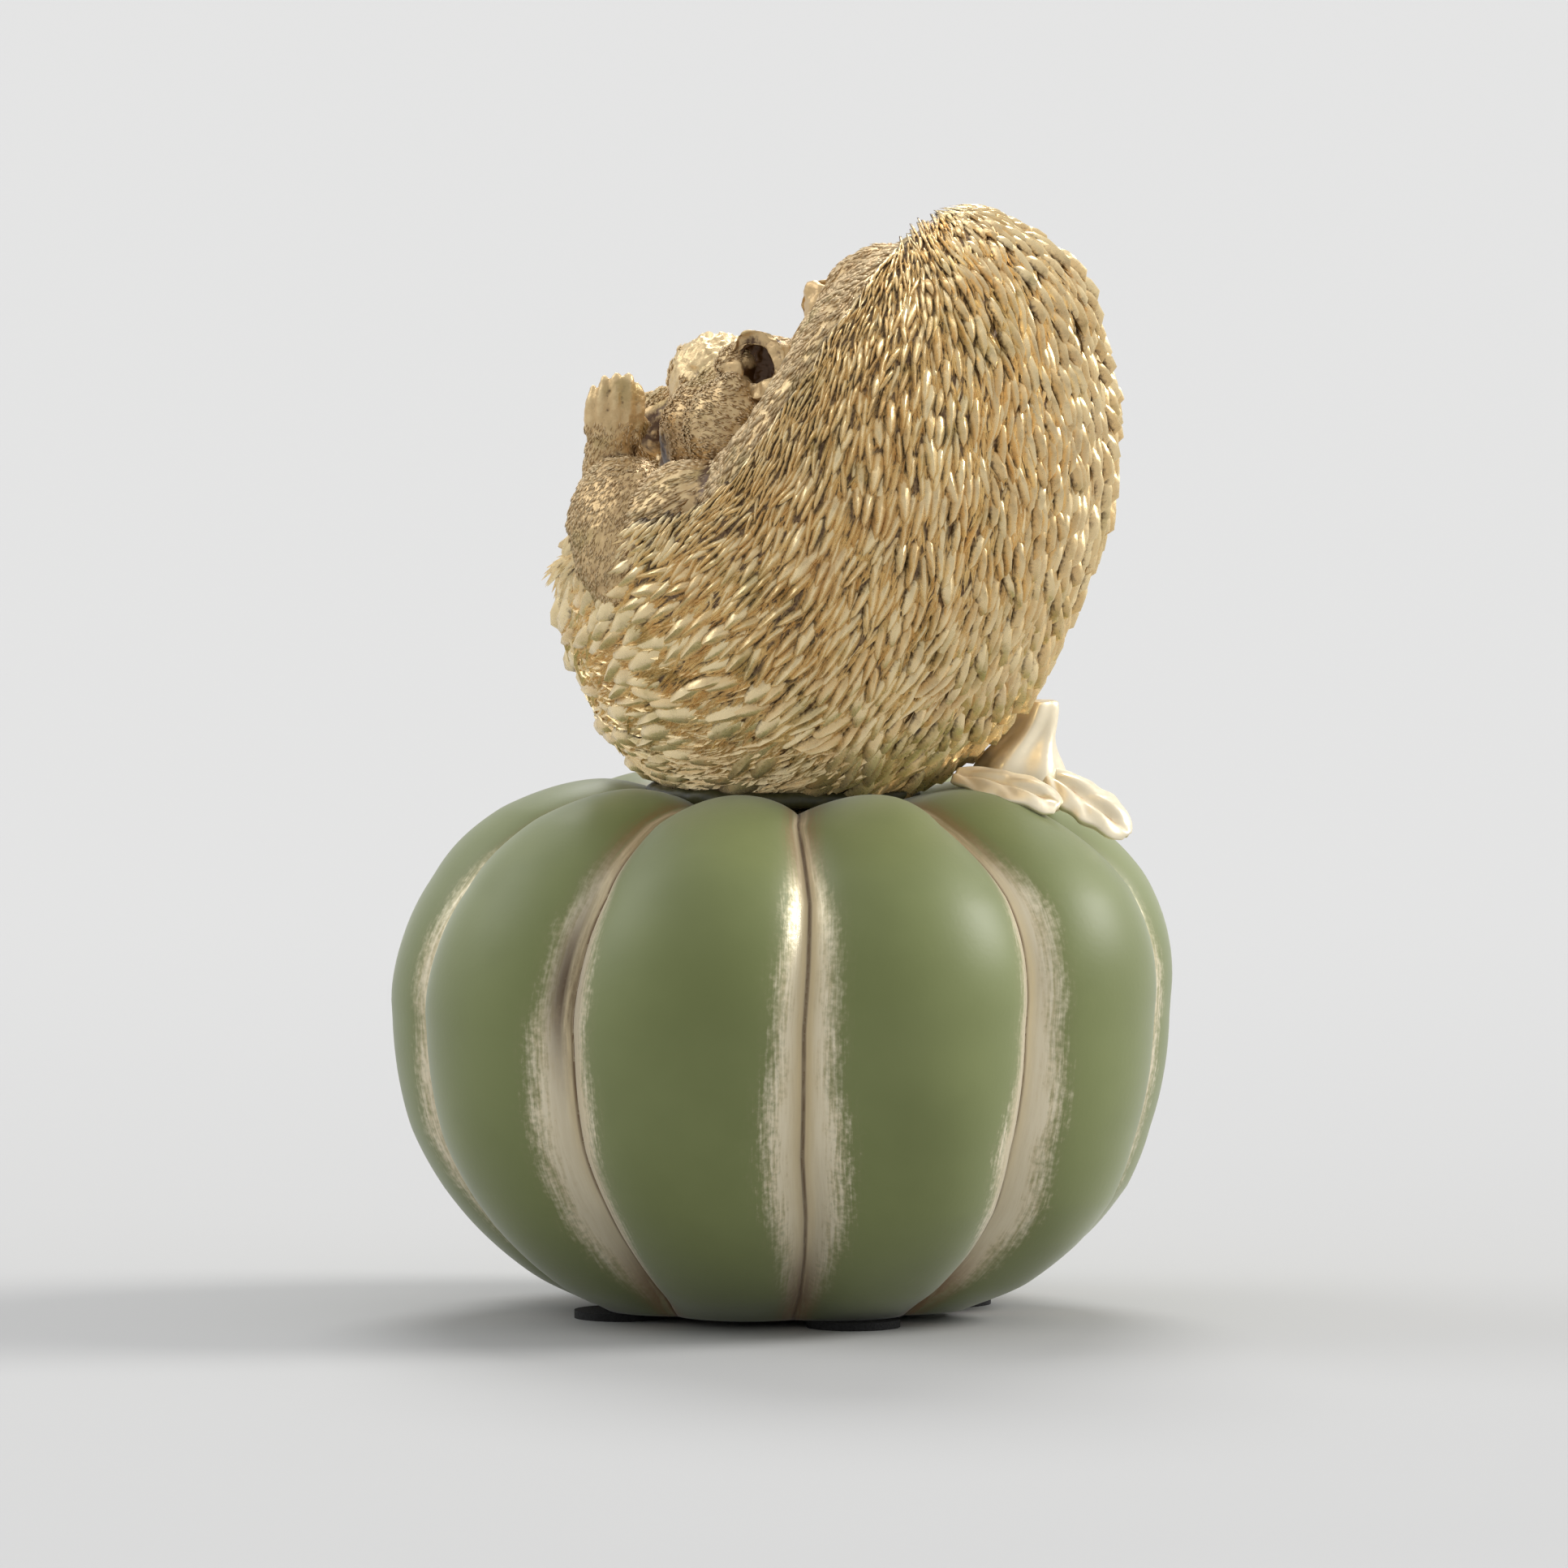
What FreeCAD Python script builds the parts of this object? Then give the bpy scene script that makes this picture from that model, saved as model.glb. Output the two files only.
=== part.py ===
import FreeCAD
import Part
import math
import os

from FreeCAD import Placement, Rotation, Vector

# A gold hedgehog that lies curled on its rump on top of a green pumpkin.
# Lengths are in millimetres, Z points up, and the origin lies on the table
# under the middle of the pumpkin. The viewer stands on the -Y side.

# Pumpkin: a cast shell with nine lobes
pumpkin_radius = 45.6
pumpkin_height = 60.4
lobe_depth = 3.9
lobe_count = 9
first_seam_angle = -86.7
shell_wall = 6.2
shell_floor = 6.0
shell_roof = 4.2

# Filler plug in the bottom of the pumpkin
pour_hole_radius = 8.0
plug_flange_radius = 10.0
plug_flange_thickness = 2.0
plug_gap = 0.2
plug_overrun = 1.0

# Felt pads
pad_radius = 5.4
pad_thickness = 0.9
pad_inset = 2.2
pad_count = 4
first_pad_angle = -66.7

# Seat of the hedgehog, with its dowel and its bead of glue
seat_drop = 0.063 * pumpkin_height
seat_radius = 8.0
seat_across = 0.7
seat_gap = 0.1
dowel_radius = 2.0
dowel_depth = 9.0
dowel_gap = 0.15
bead_radius = 1.3
bead_notch = 1.2
search_step = 0.1

# Hedgehog: an egg-shaped coat of spines, turned away and leaning back
body_half_length = 39.0
body_half_width = 30.4
body_turn_angle = 160.0
body_lean_angle = 26.1
parting_overrun = 6.0

# Spines of the coat: keeled scales with three faces, whose tips stand proud
spine_spread_count = 470
spine_length = 0.172 * body_half_width
spine_width = 0.122 * body_half_width
spine_rise = 0.030 * body_half_width
spine_root_depth = 0.013 * body_half_width
spine_side_depth = 0.026 * body_half_width
spine_edge_clearance = 0.09 * body_half_width
spine_seat_clearance = 0.21 * body_half_width
spine_stalk_clearance = 0.56 * body_half_width
full_turn_angle = 360.0
golden_turn_share = 0.381966

# Furry front of the hedgehog
chest_radius = 0.96 * body_half_width
chest_half_depth = 0.355 * body_half_width
hip_half_width = 0.806 * body_half_width
hip_radius = 0.414 * body_half_width

# Head
skull_half_width = 0.408 * body_half_width
skull_radius = 0.322 * body_half_width
brow_radius = 0.204 * body_half_width
cheek_radius = 0.25 * body_half_width
snout_half_length = 0.296 * body_half_width
snout_radius = 0.161 * body_half_width
nose_radius = 0.056 * body_half_width

# Ears: thin cups
ear_radius = 0.155 * body_half_width
ear_depth = 0.138 * body_half_width
ear_wall = 1.0

# Limbs and tail
sole_half_length = 0.316 * body_half_width
sole_radius = 0.148 * body_half_width
sole_lean_angle = 13.0
toe_radius = 0.051 * body_half_width
toe_half_length = 2 * toe_radius
toe_count = 4
thigh_half_length = 0.362 * body_half_width
thigh_radius = 0.25 * body_half_width
paw_half_length = 0.197 * body_half_width
paw_radius = 0.095 * body_half_width
tail_half_length = 0.178 * body_half_width
tail_radius = 0.089 * body_half_width

# Cut stalk and its two leaves
stalk_height = 13.8
stalk_lean = 2.2
stalk_twist_angle = 60.0
stalk_sides = 5
leaf_thickness = 1.1
front_leaf_width = 9.4
rear_leaf_width = 8.6
leaf_arch = 0.9
leaf_roll_angle = 24.0

# Radius of the stalk from its foot to its cut top, in mm, with the height
# and the lean that it has there as shares
stalk_radii = (5.4, 4.6, 3.0, 2.3, 1.9)
stalk_height_shares = (0.0, 0.30, 0.42, 0.60, 1.0)
stalk_lean_shares = (0.0, 0.3, 0.6, 0.95, 1.0)

# Lobed outline of the pumpkin from its foot to its crown, as shares of
# (crest radius, crest height, lobe depth at the seam, drop at the seam)
ring_shares = [
    (0.493, 0.000, 0.62, 0.00),
    (0.655, 0.060, 0.90, -0.015),
    (0.815, 0.175, 1.02, -0.015),
    (0.942, 0.345, 1.02, -0.008),
    (1.000, 0.560, 1.00, 0.000),
    (0.972, 0.725, 1.02, 0.008),
    (0.860, 0.866, 1.00, 0.025),
    (0.680, 0.963, 0.90, 0.038),
    (0.505, 1.000, 0.60, 0.042),
    (0.340, 0.978, 0.28, 0.032),
    (0.232, 0.940, 0.12, 0.008),
]

# The last rings go down into the hollow of the crown
dish_ring_count = 3

# Edge of the spiny coat seen from the side, as shares of the body's
# half length (up) and half width (forward)
coat_edge_shares = [
    (0.98, 0.03),
    (0.77, 0.19),
    (0.59, 0.21),
    (0.38, 0.09),
    (0.08, 0.13),
    (-0.13, 0.28),
    (-0.28, 0.50),
    (-0.49, 0.82),
    (-0.84, 1.34),
]

# The spines lie along circles about a crosswise line through this place,
# as shares of the body's half width (forward) and half length (up)
spine_flow_share = (1.194, 0.0, -0.456)

# Places on the hedgehog, forward, to its left and up, as shares of the
# body's half width, half width and half length
chest_share = (0.08, 0.00, 0.10)
hip_share = (0.20, 0.00, -0.23)
skull_share = (0.42, 0.02, 0.13)
brow_share = (0.60, 0.04, 0.155)
left_cheek_share = (0.46, 0.21, 0.05)
right_cheek_share = (0.49, -0.20, 0.10)
snout_share = (0.70, -0.02, 0.01)
nose_share = (0.93, -0.03, -0.085)
left_ear_share = (0.40, 0.415, 0.345)
right_ear_share = (0.425, -0.345, 0.46)
foot_share = (0.725, 0.43, -0.17)
toe_share = (0.84, 0.43, 0.045)
thigh_share = (0.50, 0.55, -0.30)
paw_share = (0.60, 0.135, -0.20)
tail_share = (0.76, 0.00, -0.39)

# Ways that the cups of the ears, the paws and the tail point, in the same
# three directions
left_ear_way_share = (0.35, 0.9, 0.2)
right_ear_way_share = (0.5, -0.8, 0.35)
paw_way_share = (1.0, 0.0, 1.0)
tail_way_share = (1.0, 0.0, -0.35)
toe_drop_share = 0.33

# Foot of the stalk, as shares of the animal's half width, half width and
# the pumpkin's height. The leaves' roots are measured from it, and their
# tips from the pumpkin's middle, as shares of the pumpkin's radius, radius
# and height.
stalk_share = (0.90, -0.052, 0.93)
front_leaf_root_share = (-0.074, -0.083, 0.082)
front_leaf_tip_share = (0.671, -0.320, 0.960)
rear_leaf_root_share = (0.067, -0.075, 0.065)
rear_leaf_tip_share = (0.882, -0.184, 0.879)

# Where the rings of a rounded form lie between its ends
egg_latitudes = (-85, -68, -45, -22, 0, 22, 45, 68, 85)
eighth_turn_angle = 45

# Leaf half width along the leaf, from its stalk to its tip, as shares
leaf_width_shares = [0.22, 0.66, 0.98, 0.90, 0.52, 0.06]
leaf_crease_share = 0.33

seat_height = pad_thickness + pumpkin_height - seat_drop
ahead = Vector(1, 0, 0)
sideways = Vector(0, 1, 0)
up = Vector(0, 0, 1)
origin = Vector(0, 0, 0)


def polar(radius, angle, height):
    turn = math.radians(angle)
    return Vector(radius * math.cos(turn), radius * math.sin(turn), height)


def round_ring(radius, height):
    """A circle as four arcs."""
    corners = [polar(radius, (turn + 1) * eighth_turn_angle, height) for turn in range(9)]
    return Part.Wire([Part.Arc(*corners[start:start + 3]).toShape() for start in (0, 2, 4, 6)])


def egg(centre, direction, half_length, radius):
    """A long or flat ball about the direction given, with its two ends trimmed small and flat."""
    rings = []
    for latitude in egg_latitudes:
        turn = math.radians(latitude)
        rings.append(round_ring(radius * math.cos(turn), half_length * math.sin(turn)))
    shape = Part.makeLoft(rings, True, False)
    shape.Placement = Placement(centre, Rotation(up, direction))
    return shape


def ball(centre, radius):
    return egg(centre, up, radius, radius)


def on_body(share):
    front, side, rise = share
    return Vector(front * body_half_width, side * body_half_width, rise * body_half_length)


def across_pumpkin(share):
    across, depth, rise = share
    return Vector(across * pumpkin_radius, depth * pumpkin_radius, rise * pumpkin_height)


def mirrored(share):
    return (share[0], -share[1], share[2])


def dish_line():
    """The hollow of the crown along a lobe's crest, from its seat outwards, as (radius, height)."""
    line = [(seat_radius, seat_height)]
    for radius_share, rise_share, depth_share, drop_share in reversed(ring_shares[-dish_ring_count:]):
        line.append((radius_share * pumpkin_radius, pad_thickness + rise_share * pumpkin_height))
    return line


def dish_height(radius):
    line = dish_line()
    for (near, low), (far, high) in zip(line, line[1:]):
        if radius <= far:
            return low + (high - low) * (radius - near) / (far - near)
    return line[-1][1]


def body_below():
    """How far the leaning body reaches below its middle."""
    lean = math.radians(body_lean_angle)
    stretch = body_half_length ** 2 - body_half_width ** 2
    return math.sqrt(body_half_width ** 2 + stretch * math.cos(lean) ** 2)


def underside_rise(radius):
    """How far the body's underside has risen at that distance from its lowest point."""
    bend = (body_half_length * body_half_width) ** 2 / body_below() ** 3
    if radius >= bend:
        return bend
    return bend - math.sqrt(bend ** 2 - radius ** 2)


def seat_sink():
    """How far the body's lowest point goes below the seat before its side meets the dish."""
    rooms = [
        underside_rise(radius - seat_across) - (height - seat_height)
        for radius, height in dish_line()[1:]
    ]
    return min(rooms) - seat_gap


def bead_ring_radius():
    """The ring on which the notch between the body and the dish is as high as the bead wants it."""
    lowest = seat_height - seat_sink()
    radius = dish_line()[-1][0]
    while lowest + underside_rise(radius) - dish_height(radius) > bead_notch:
        radius -= search_step
    return radius


def body_middle():
    """The middle of the egg-shaped body, whose side rests in the hollow of the crown."""
    lean = math.radians(body_lean_angle)
    stretch = body_half_length ** 2 - body_half_width ** 2
    below = body_below()
    behind = stretch * math.sin(lean) * math.cos(lean) / below
    return Vector(seat_across, 0, seat_height + below - seat_sink()) - polar(behind, body_turn_angle, 0)


def body_placement():
    lean = Rotation(sideways, -body_lean_angle)
    return Placement(body_middle(), Rotation(up, body_turn_angle).multiply(lean))


def set_down(shape):
    """Turn a piece from the upright animal's frame into its place on the pumpkin."""
    placed = shape.copy()
    placed.Placement = body_placement().multiply(placed.Placement)
    return placed


def solid_of(shape):
    """The largest solid of a cut, without the crumbs that a cut can leave."""
    return max(shape.Solids, key=lambda solid: solid.Volume)


def lobe_ring(share):
    crest_share, rise_share, depth_share, drop_share = share
    crest_radius = crest_share * pumpkin_radius
    seam_radius = crest_radius - depth_share * lobe_depth
    crest_height = pad_thickness + rise_share * pumpkin_height
    seam_height = crest_height - drop_share * pumpkin_height
    pitch = 360 / lobe_count
    arcs = []
    for lobe in range(lobe_count):
        start = first_seam_angle + lobe * pitch
        seam = polar(seam_radius, start, seam_height)
        crest = polar(crest_radius, start + pitch / 2, crest_height)
        next_seam = polar(seam_radius, start + pitch, seam_height)
        arcs.append(Part.Arc(seam, crest, next_seam).toShape())
    return Part.Wire(arcs)


def seat_ring():
    pitch = 360 / lobe_count
    arcs = []
    for lobe in range(lobe_count):
        start = first_seam_angle + lobe * pitch
        ends = [polar(seat_radius, start + turn, seat_height) for turn in (0, pitch / 2, pitch)]
        arcs.append(Part.Arc(*ends).toShape())
    return Part.Wire(arcs)


def pumpkin_form():
    rings = [lobe_ring(share) for share in ring_shares]
    rings.append(seat_ring())
    return Part.makeLoft(rings, True, False)


def pumpkin_shell(form):
    cavity_floor = pad_thickness + shell_floor
    cavity_top = seat_height - dowel_depth - shell_roof
    cavity_middle = (cavity_floor + cavity_top) / 2
    cavity_radius = pumpkin_radius - lobe_depth - shell_wall
    cavity = egg(Vector(0, 0, cavity_middle), up, (cavity_top - cavity_floor) / 2, cavity_radius)
    hole = Part.makeCylinder(pour_hole_radius, cavity_middle, origin)
    rebate = Part.makeCylinder(plug_flange_radius, pad_thickness + plug_flange_thickness, origin)
    return solid_of(form.cut(cavity).cut(hole).cut(rebate).cut(dowel_hole()))


def base_plug():
    flange = Part.makeCylinder(
        plug_flange_radius - plug_gap, plug_flange_thickness, Vector(0, 0, pad_thickness)
    )
    body = Part.makeCylinder(
        pour_hole_radius - plug_gap, shell_floor + plug_overrun, Vector(0, 0, pad_thickness)
    )
    return flange.fuse(body).removeSplitter()


def felt_pad(number):
    angle = first_pad_angle + number * 360 / pad_count
    foot_radius = ring_shares[0][0] * pumpkin_radius
    return Part.makeCylinder(pad_radius, pad_thickness, polar(foot_radius - pad_inset, angle, 0))


def dowel():
    return Part.makeCylinder(dowel_radius, 2 * dowel_depth, Vector(0, 0, seat_height - dowel_depth))


def dowel_hole():
    length = 2 * dowel_depth + dowel_gap
    return Part.makeCylinder(dowel_radius + dowel_gap, length, Vector(0, 0, seat_height - dowel_depth))


def glue_bead(form, coat):
    """A ring of glue that fills the notch between the animal and the crown."""
    ring_radius = bead_ring_radius()
    ring = Part.makeTorus(ring_radius, bead_radius, Vector(0, 0, dish_height(ring_radius) + bead_notch / 2))
    return solid_of(ring.cut(form).cut(coat))


def parting_block():
    """A block whose lower side follows the edge of the coat, and which holds the fur side."""
    reach = body_half_width + parting_overrun
    edge = [
        Vector(forward * body_half_width, -reach, rise * body_half_length)
        for rise, forward in coat_edge_shares
    ]
    top = Vector(edge[0].x, -reach, body_half_length + parting_overrun)
    front = edge[-1].x + parting_overrun
    outline = [top] + edge + [Vector(front, -reach, edge[-1].z), Vector(front, -reach, top.z)]
    face = Part.Face(Part.makePolygon(outline + [top]))
    return face.extrude(Vector(0, 2 * reach, 0))


def spine_coat(fur_side):
    shape = egg(origin, up, body_half_length, body_half_width).cut(fur_side)
    shape = set_down(shape)
    below = Part.makeCylinder(2 * body_half_length, seat_height)
    return solid_of(shape.cut(below).cut(dowel_hole()))


def behind_edge(place):
    """How far a place on the coat lies behind the coat's edge, seen from the side."""
    nearest = body_half_length
    ahead_of = 0
    line = [(rise * body_half_length, forward * body_half_width) for rise, forward in coat_edge_shares]
    for (high, start), (low, end) in zip(line, line[1:]):
        run = Vector(high - low, start - end, 0)
        gap = Vector(place.z - low, place.x - end, 0)
        along = min(max(gap.dot(run) / run.dot(run), 0), 1)
        nearest = min(nearest, (gap - run * along).Length)
        if low <= place.z <= high:
            ahead_of = place.x - end - (start - end) * (place.z - low) / (high - low)
    return nearest if ahead_of < 0 or place.z > line[0][0] else -nearest


def spine(place):
    """One keeled scale on the egg-shaped body, its root sunk and its tip proud."""
    normal = Vector(
        place.x / body_half_width ** 2, place.y / body_half_width ** 2, place.z / body_half_length ** 2
    )
    normal.normalize()
    centre = on_body(spine_flow_share)
    flow = Vector(centre.z - place.z, 0, place.x - centre.x)
    flow = flow - normal * flow.dot(normal)
    flow.normalize()
    side = flow.cross(normal) * (spine_width / 2)
    root = place - flow * (spine_length / 2) - normal * spine_root_depth
    tip = place + flow * (spine_length / 2) + normal * spine_rise
    left = place + side - normal * spine_side_depth
    right = place - side - normal * spine_side_depth
    faces = [
        Part.Face(Part.makePolygon(corners + corners[:1]))
        for corners in ([root, left, tip], [root, tip, right], [root, right, left], [left, right, tip])
    ]
    return Part.makeSolid(Part.makeShell(faces)), tip


def spines():
    """Spines spread evenly over the coat, away from its edge, the seat and the stalk."""
    found = []
    placement = body_placement()
    for number in range(spine_spread_count):
        rise = 1 - (2 * number + 1) / spine_spread_count
        across = math.sqrt(1 - rise ** 2)
        turn = math.radians(full_turn_angle * golden_turn_share * number)
        place = on_body((across * math.cos(turn), across * math.sin(turn), rise))
        shape, tip = spine(place)
        if min(behind_edge(place), behind_edge(tip)) < spine_edge_clearance:
            continue
        world = placement.multVec(tip)
        if world.z < seat_height + spine_seat_clearance:
            continue
        beside = world - stalk_foot()
        if beside.z < stalk_height and math.hypot(beside.x, beside.y) < spine_stalk_clearance:
            continue
        shape.Placement = placement
        found.append(shape)
    return found


def furry_front(fur_side):
    chest = egg(on_body(chest_share), ahead, chest_half_depth, chest_radius)
    hips = egg(on_body(hip_share), sideways, hip_half_width, hip_radius)
    return solid_of(chest.fuse(hips).common(fur_side))


def head(front, fur_side):
    skull = egg(on_body(skull_share), sideways, skull_half_width, skull_radius)
    brow = ball(on_body(brow_share), brow_radius)
    snout_middle = on_body(snout_share)
    nose_tip = on_body(nose_share)
    snout = egg(snout_middle, nose_tip - snout_middle, snout_half_length, snout_radius)
    nose = ball(nose_tip, nose_radius)
    shape = skull.fuse(brow).fuse(snout).fuse(nose)
    for share in (left_cheek_share, right_cheek_share):
        shape = shape.fuse(ball(on_body(share), cheek_radius))
    return solid_of(shape.common(fur_side).cut(front))


def ear(share, way_share, head_and_front):
    """A round cup that opens the way given, and stands on the head and the chest."""
    opening = Vector(way_share)
    opening.normalize()
    outer = egg(origin, up, ear_depth, ear_radius)
    inner = egg(Vector(0, 0, ear_wall), up, ear_depth - ear_wall, ear_radius - ear_wall)
    mouth = Part.makeCylinder(2 * ear_radius, 2 * ear_depth, Vector(0, 0, ear_wall))
    cup = outer.cut(inner).cut(mouth)
    cup.Placement = Placement(on_body(share), Rotation(up, opening))
    for neighbour in head_and_front:
        cup = cup.cut(neighbour)
    return solid_of(cup)


def hind_foot(side):
    place = (lambda share: share) if side > 0 else mirrored
    lean = math.radians(sole_lean_angle)
    toe_way = Vector(math.sin(lean), 0, math.cos(lean))
    shape = egg(on_body(place(foot_share)), toe_way, sole_half_length, sole_radius)
    spread = 2 * (sole_radius - toe_radius) / (toe_count - 1)
    for toe in range(toe_count):
        across = (toe - (toe_count - 1) / 2) * spread
        tip = on_body(place(toe_share)) + Vector(0, across, -toe_drop_share * abs(across))
        shape = shape.fuse(egg(tip, up, toe_half_length, toe_radius))
    thigh_way = on_body(place(foot_share)) - on_body(place(thigh_share))
    thigh = egg(on_body(place(thigh_share)), thigh_way, thigh_half_length, thigh_radius)
    return shape.fuse(thigh)


def front_paw(side):
    share = paw_share if side > 0 else mirrored(paw_share)
    return egg(on_body(share), Vector(paw_way_share), paw_half_length, paw_radius)


def tail():
    return egg(on_body(tail_share), Vector(tail_way_share), tail_half_length, tail_radius)


def stalk_foot():
    """The stalk stands beside the animal, close against its side."""
    across, depth, rise = stalk_share
    return Vector(across * body_half_width, depth * body_half_width, pad_thickness + rise * pumpkin_height)


def stalk():
    """A short stalk with five ribs, flared at its foot."""
    rings = []
    for radius, share, lean_share in zip(stalk_radii, stalk_height_shares, stalk_lean_shares):
        middle = stalk_foot() + Vector(lean_share * stalk_lean, 0, share * stalk_height)
        corners = [
            middle + polar(radius, side * 360 / stalk_sides + stalk_twist_angle * share, 0)
            for side in range(stalk_sides)
        ]
        rings.append(Part.makePolygon(corners + corners[:1]))
    return Part.makeLoft(rings, True, True)


def leaf(root_share, tip_share, width):
    """A thin arched blade from its root to its tip, rolled so that its front edge hangs lower."""
    root = stalk_foot() + across_pumpkin(root_share)
    tip = across_pumpkin(tip_share) + Vector(0, 0, pad_thickness)
    run = tip - root
    roll = Rotation(run, leaf_roll_angle)
    side = roll.multVec(run.cross(up))
    side.normalize()
    raised = side.cross(run)
    raised.normalize()
    rings = []
    count = len(leaf_width_shares)
    for station, width_share in enumerate(leaf_width_shares):
        along = station / (count - 1)
        middle = root + run * along + raised * (leaf_arch * math.sin(math.pi * along))
        half = side * (width * width_share / 2)
        thick = raised * leaf_thickness
        crease = raised * (leaf_thickness * leaf_crease_share)
        corners = [middle - half, middle - crease, middle + half]
        corners += [corner + thick for corner in reversed(corners)]
        rings.append(Part.makePolygon(corners + corners[:1]))
    return Part.makeLoft(rings, True, True)


def main():
    form = pumpkin_form()
    fur_side = parting_block()
    coat = spine_coat(fur_side)
    front = furry_front(fur_side)
    face = head(front, fur_side)
    pieces = {"pumpkin_shell": pumpkin_shell(form), "base_plug": base_plug(), "locating_dowel": dowel()}
    for number, place in enumerate(("front", "right", "back", "left")):
        pieces["felt_pad_" + place] = felt_pad(number)
    pieces["glue_bead"] = glue_bead(form, coat)
    pieces["spine_coat"] = solid_of(coat.fuse(spines()))
    pieces["furry_front"] = set_down(front)
    pieces["head"] = set_down(face)
    pieces["left_ear"] = set_down(ear(left_ear_share, left_ear_way_share, (face, front)))
    pieces["right_ear"] = set_down(ear(right_ear_share, right_ear_way_share, (face, front)))
    for name, side in (("left", 1), ("right", -1)):
        foot = solid_of(hind_foot(side).common(fur_side).cut(front).cut(face))
        pieces[name + "_hind_foot"] = set_down(foot)
        paw = solid_of(front_paw(side).common(fur_side).cut(front).cut(face).cut(foot))
        pieces[name + "_front_paw"] = set_down(paw)
    pieces["tail"] = set_down(solid_of(tail().common(fur_side).cut(front)))
    stem = solid_of(stalk().cut(form).cut(coat))
    pieces["stalk"] = stem
    rear = leaf(rear_leaf_root_share, rear_leaf_tip_share, rear_leaf_width)
    rear = solid_of(rear.cut(form).cut(stem).cut(coat))
    near = leaf(front_leaf_root_share, front_leaf_tip_share, front_leaf_width)
    pieces["rear_leaf"] = rear
    pieces["front_leaf"] = solid_of(near.cut(form).cut(stem).cut(coat).cut(rear))
    for name, shape in pieces.items():
        shape.exportStep("parts/" + name + ".step")
        print(name, round(shape.Volume), shape.isValid(), len(shape.Solids))


os.makedirs("parts", exist_ok=True)
main()
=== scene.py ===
import math
import bpy
import numpy as np
from mathutils import Matrix, Vector, noise


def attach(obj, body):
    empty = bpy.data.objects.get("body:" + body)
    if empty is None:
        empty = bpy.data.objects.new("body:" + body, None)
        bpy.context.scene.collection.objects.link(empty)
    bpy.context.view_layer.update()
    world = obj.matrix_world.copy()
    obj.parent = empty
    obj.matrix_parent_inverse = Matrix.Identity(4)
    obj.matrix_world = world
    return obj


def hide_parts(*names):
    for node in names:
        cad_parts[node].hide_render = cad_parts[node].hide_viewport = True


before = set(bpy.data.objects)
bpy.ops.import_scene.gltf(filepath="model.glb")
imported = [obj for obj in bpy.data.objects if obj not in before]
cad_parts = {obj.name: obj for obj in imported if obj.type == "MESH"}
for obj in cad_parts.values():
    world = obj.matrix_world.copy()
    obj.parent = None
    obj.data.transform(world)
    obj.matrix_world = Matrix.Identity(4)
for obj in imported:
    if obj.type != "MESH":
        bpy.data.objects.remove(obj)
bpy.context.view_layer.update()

mm = 0.001
dice = np.random.default_rng(11)

# the animal is shaped upright in mm, x ahead, y to its left, z up, and this sets it on the pumpkin
seat = {"middle": (6.61, -2.151, 93.365), "turn": 160, "lean": -26.1}
bodyPlace = (
    Matrix.Translation(Vector(seat["middle"]) * mm)
    @ Matrix.Rotation(math.radians(seat["turn"]), 4, "Z")
    @ Matrix.Rotation(math.radians(seat["lean"]), 4, "Y")
    @ Matrix.Scale(mm, 4)
)
tableUp = np.array(bodyPlace.to_3x3())[2] / mm   # the table's upward way, in the animal's axes
crown = {"start": 0.1274, "share": 0.5}          # what rises above this height is pressed down by this share


def intoEdit(action=None):   # SELECT or DESELECT for the whole mesh, or the selection as it is
    bpy.ops.object.mode_set(mode="EDIT")
    if action:
        bpy.ops.mesh.select_all(action=action)


def outOfEdit():
    bpy.ops.object.mode_set(mode="OBJECT")


def dropSelection():
    if bpy.context.object and bpy.context.object.mode != "OBJECT":
        outOfEdit()
    for thing in bpy.context.selected_objects:
        thing.select_set(False)


def pick(thing):
    dropSelection()
    thing.select_set(True)
    bpy.context.view_layer.objects.active = thing


def takeNew(name):
    thing = bpy.context.object
    thing.name = name
    thing.data.name = name
    return thing


def applyAll(thing):
    pick(thing)
    for modifier in list(thing.modifiers):
        bpy.ops.object.modifier_apply(modifier=modifier.name)


def joinAll(things, name):
    dropSelection()
    for thing in things:
        thing.select_set(True)
    bpy.context.view_layer.objects.active = things[0]
    bpy.ops.object.join()
    return takeNew(name)


def turnOutward(thing):
    pick(thing)
    intoEdit("SELECT")
    bpy.ops.mesh.normals_make_consistent(inside=False)
    outOfEdit()


def thicken(thing, wall, even=False):
    shell = thing.modifiers.new("wall", "SOLIDIFY")
    shell.thickness = wall
    shell.offset = -1
    shell.use_even_offset = even


def divide(thing, levels):   # a subdivision that is the same in the view and in the render
    smooth = thing.modifiers.new("smooth", "SUBSURF")
    smooth.levels = levels
    smooth.render_levels = levels


def readPoints(thing, what="co"):
    values = np.empty(len(thing.data.vertices) * 3)
    thing.data.vertices.foreach_get(what, values)
    return values.reshape(-1, 3)


def readNormals(thing):
    return readPoints(thing, "normal")


def writePoints(thing, points):
    thing.data.vertices.foreach_set("co", np.asarray(points, dtype=float).ravel())
    thing.data.update()


def writeTrait(thing, name, values, kind="FLOAT"):
    traits = thing.data.attributes
    trait = traits.get(name) or traits.new(name, kind, "POINT")
    values = np.asarray(values, dtype=float).ravel()
    trait.data.foreach_set("vector" if kind == "FLOAT_VECTOR" else "value", values)


# low ridge values get the dark paint, which partly stands for painted shade
def goldTraits(thing, ridge, tone):   # how far each point stands out in the paint, and how light it is
    for name, values in (("ridge", ridge), ("tone", tone)):
        writeTrait(thing, name, np.zeros(len(thing.data.vertices)) + values)


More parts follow.
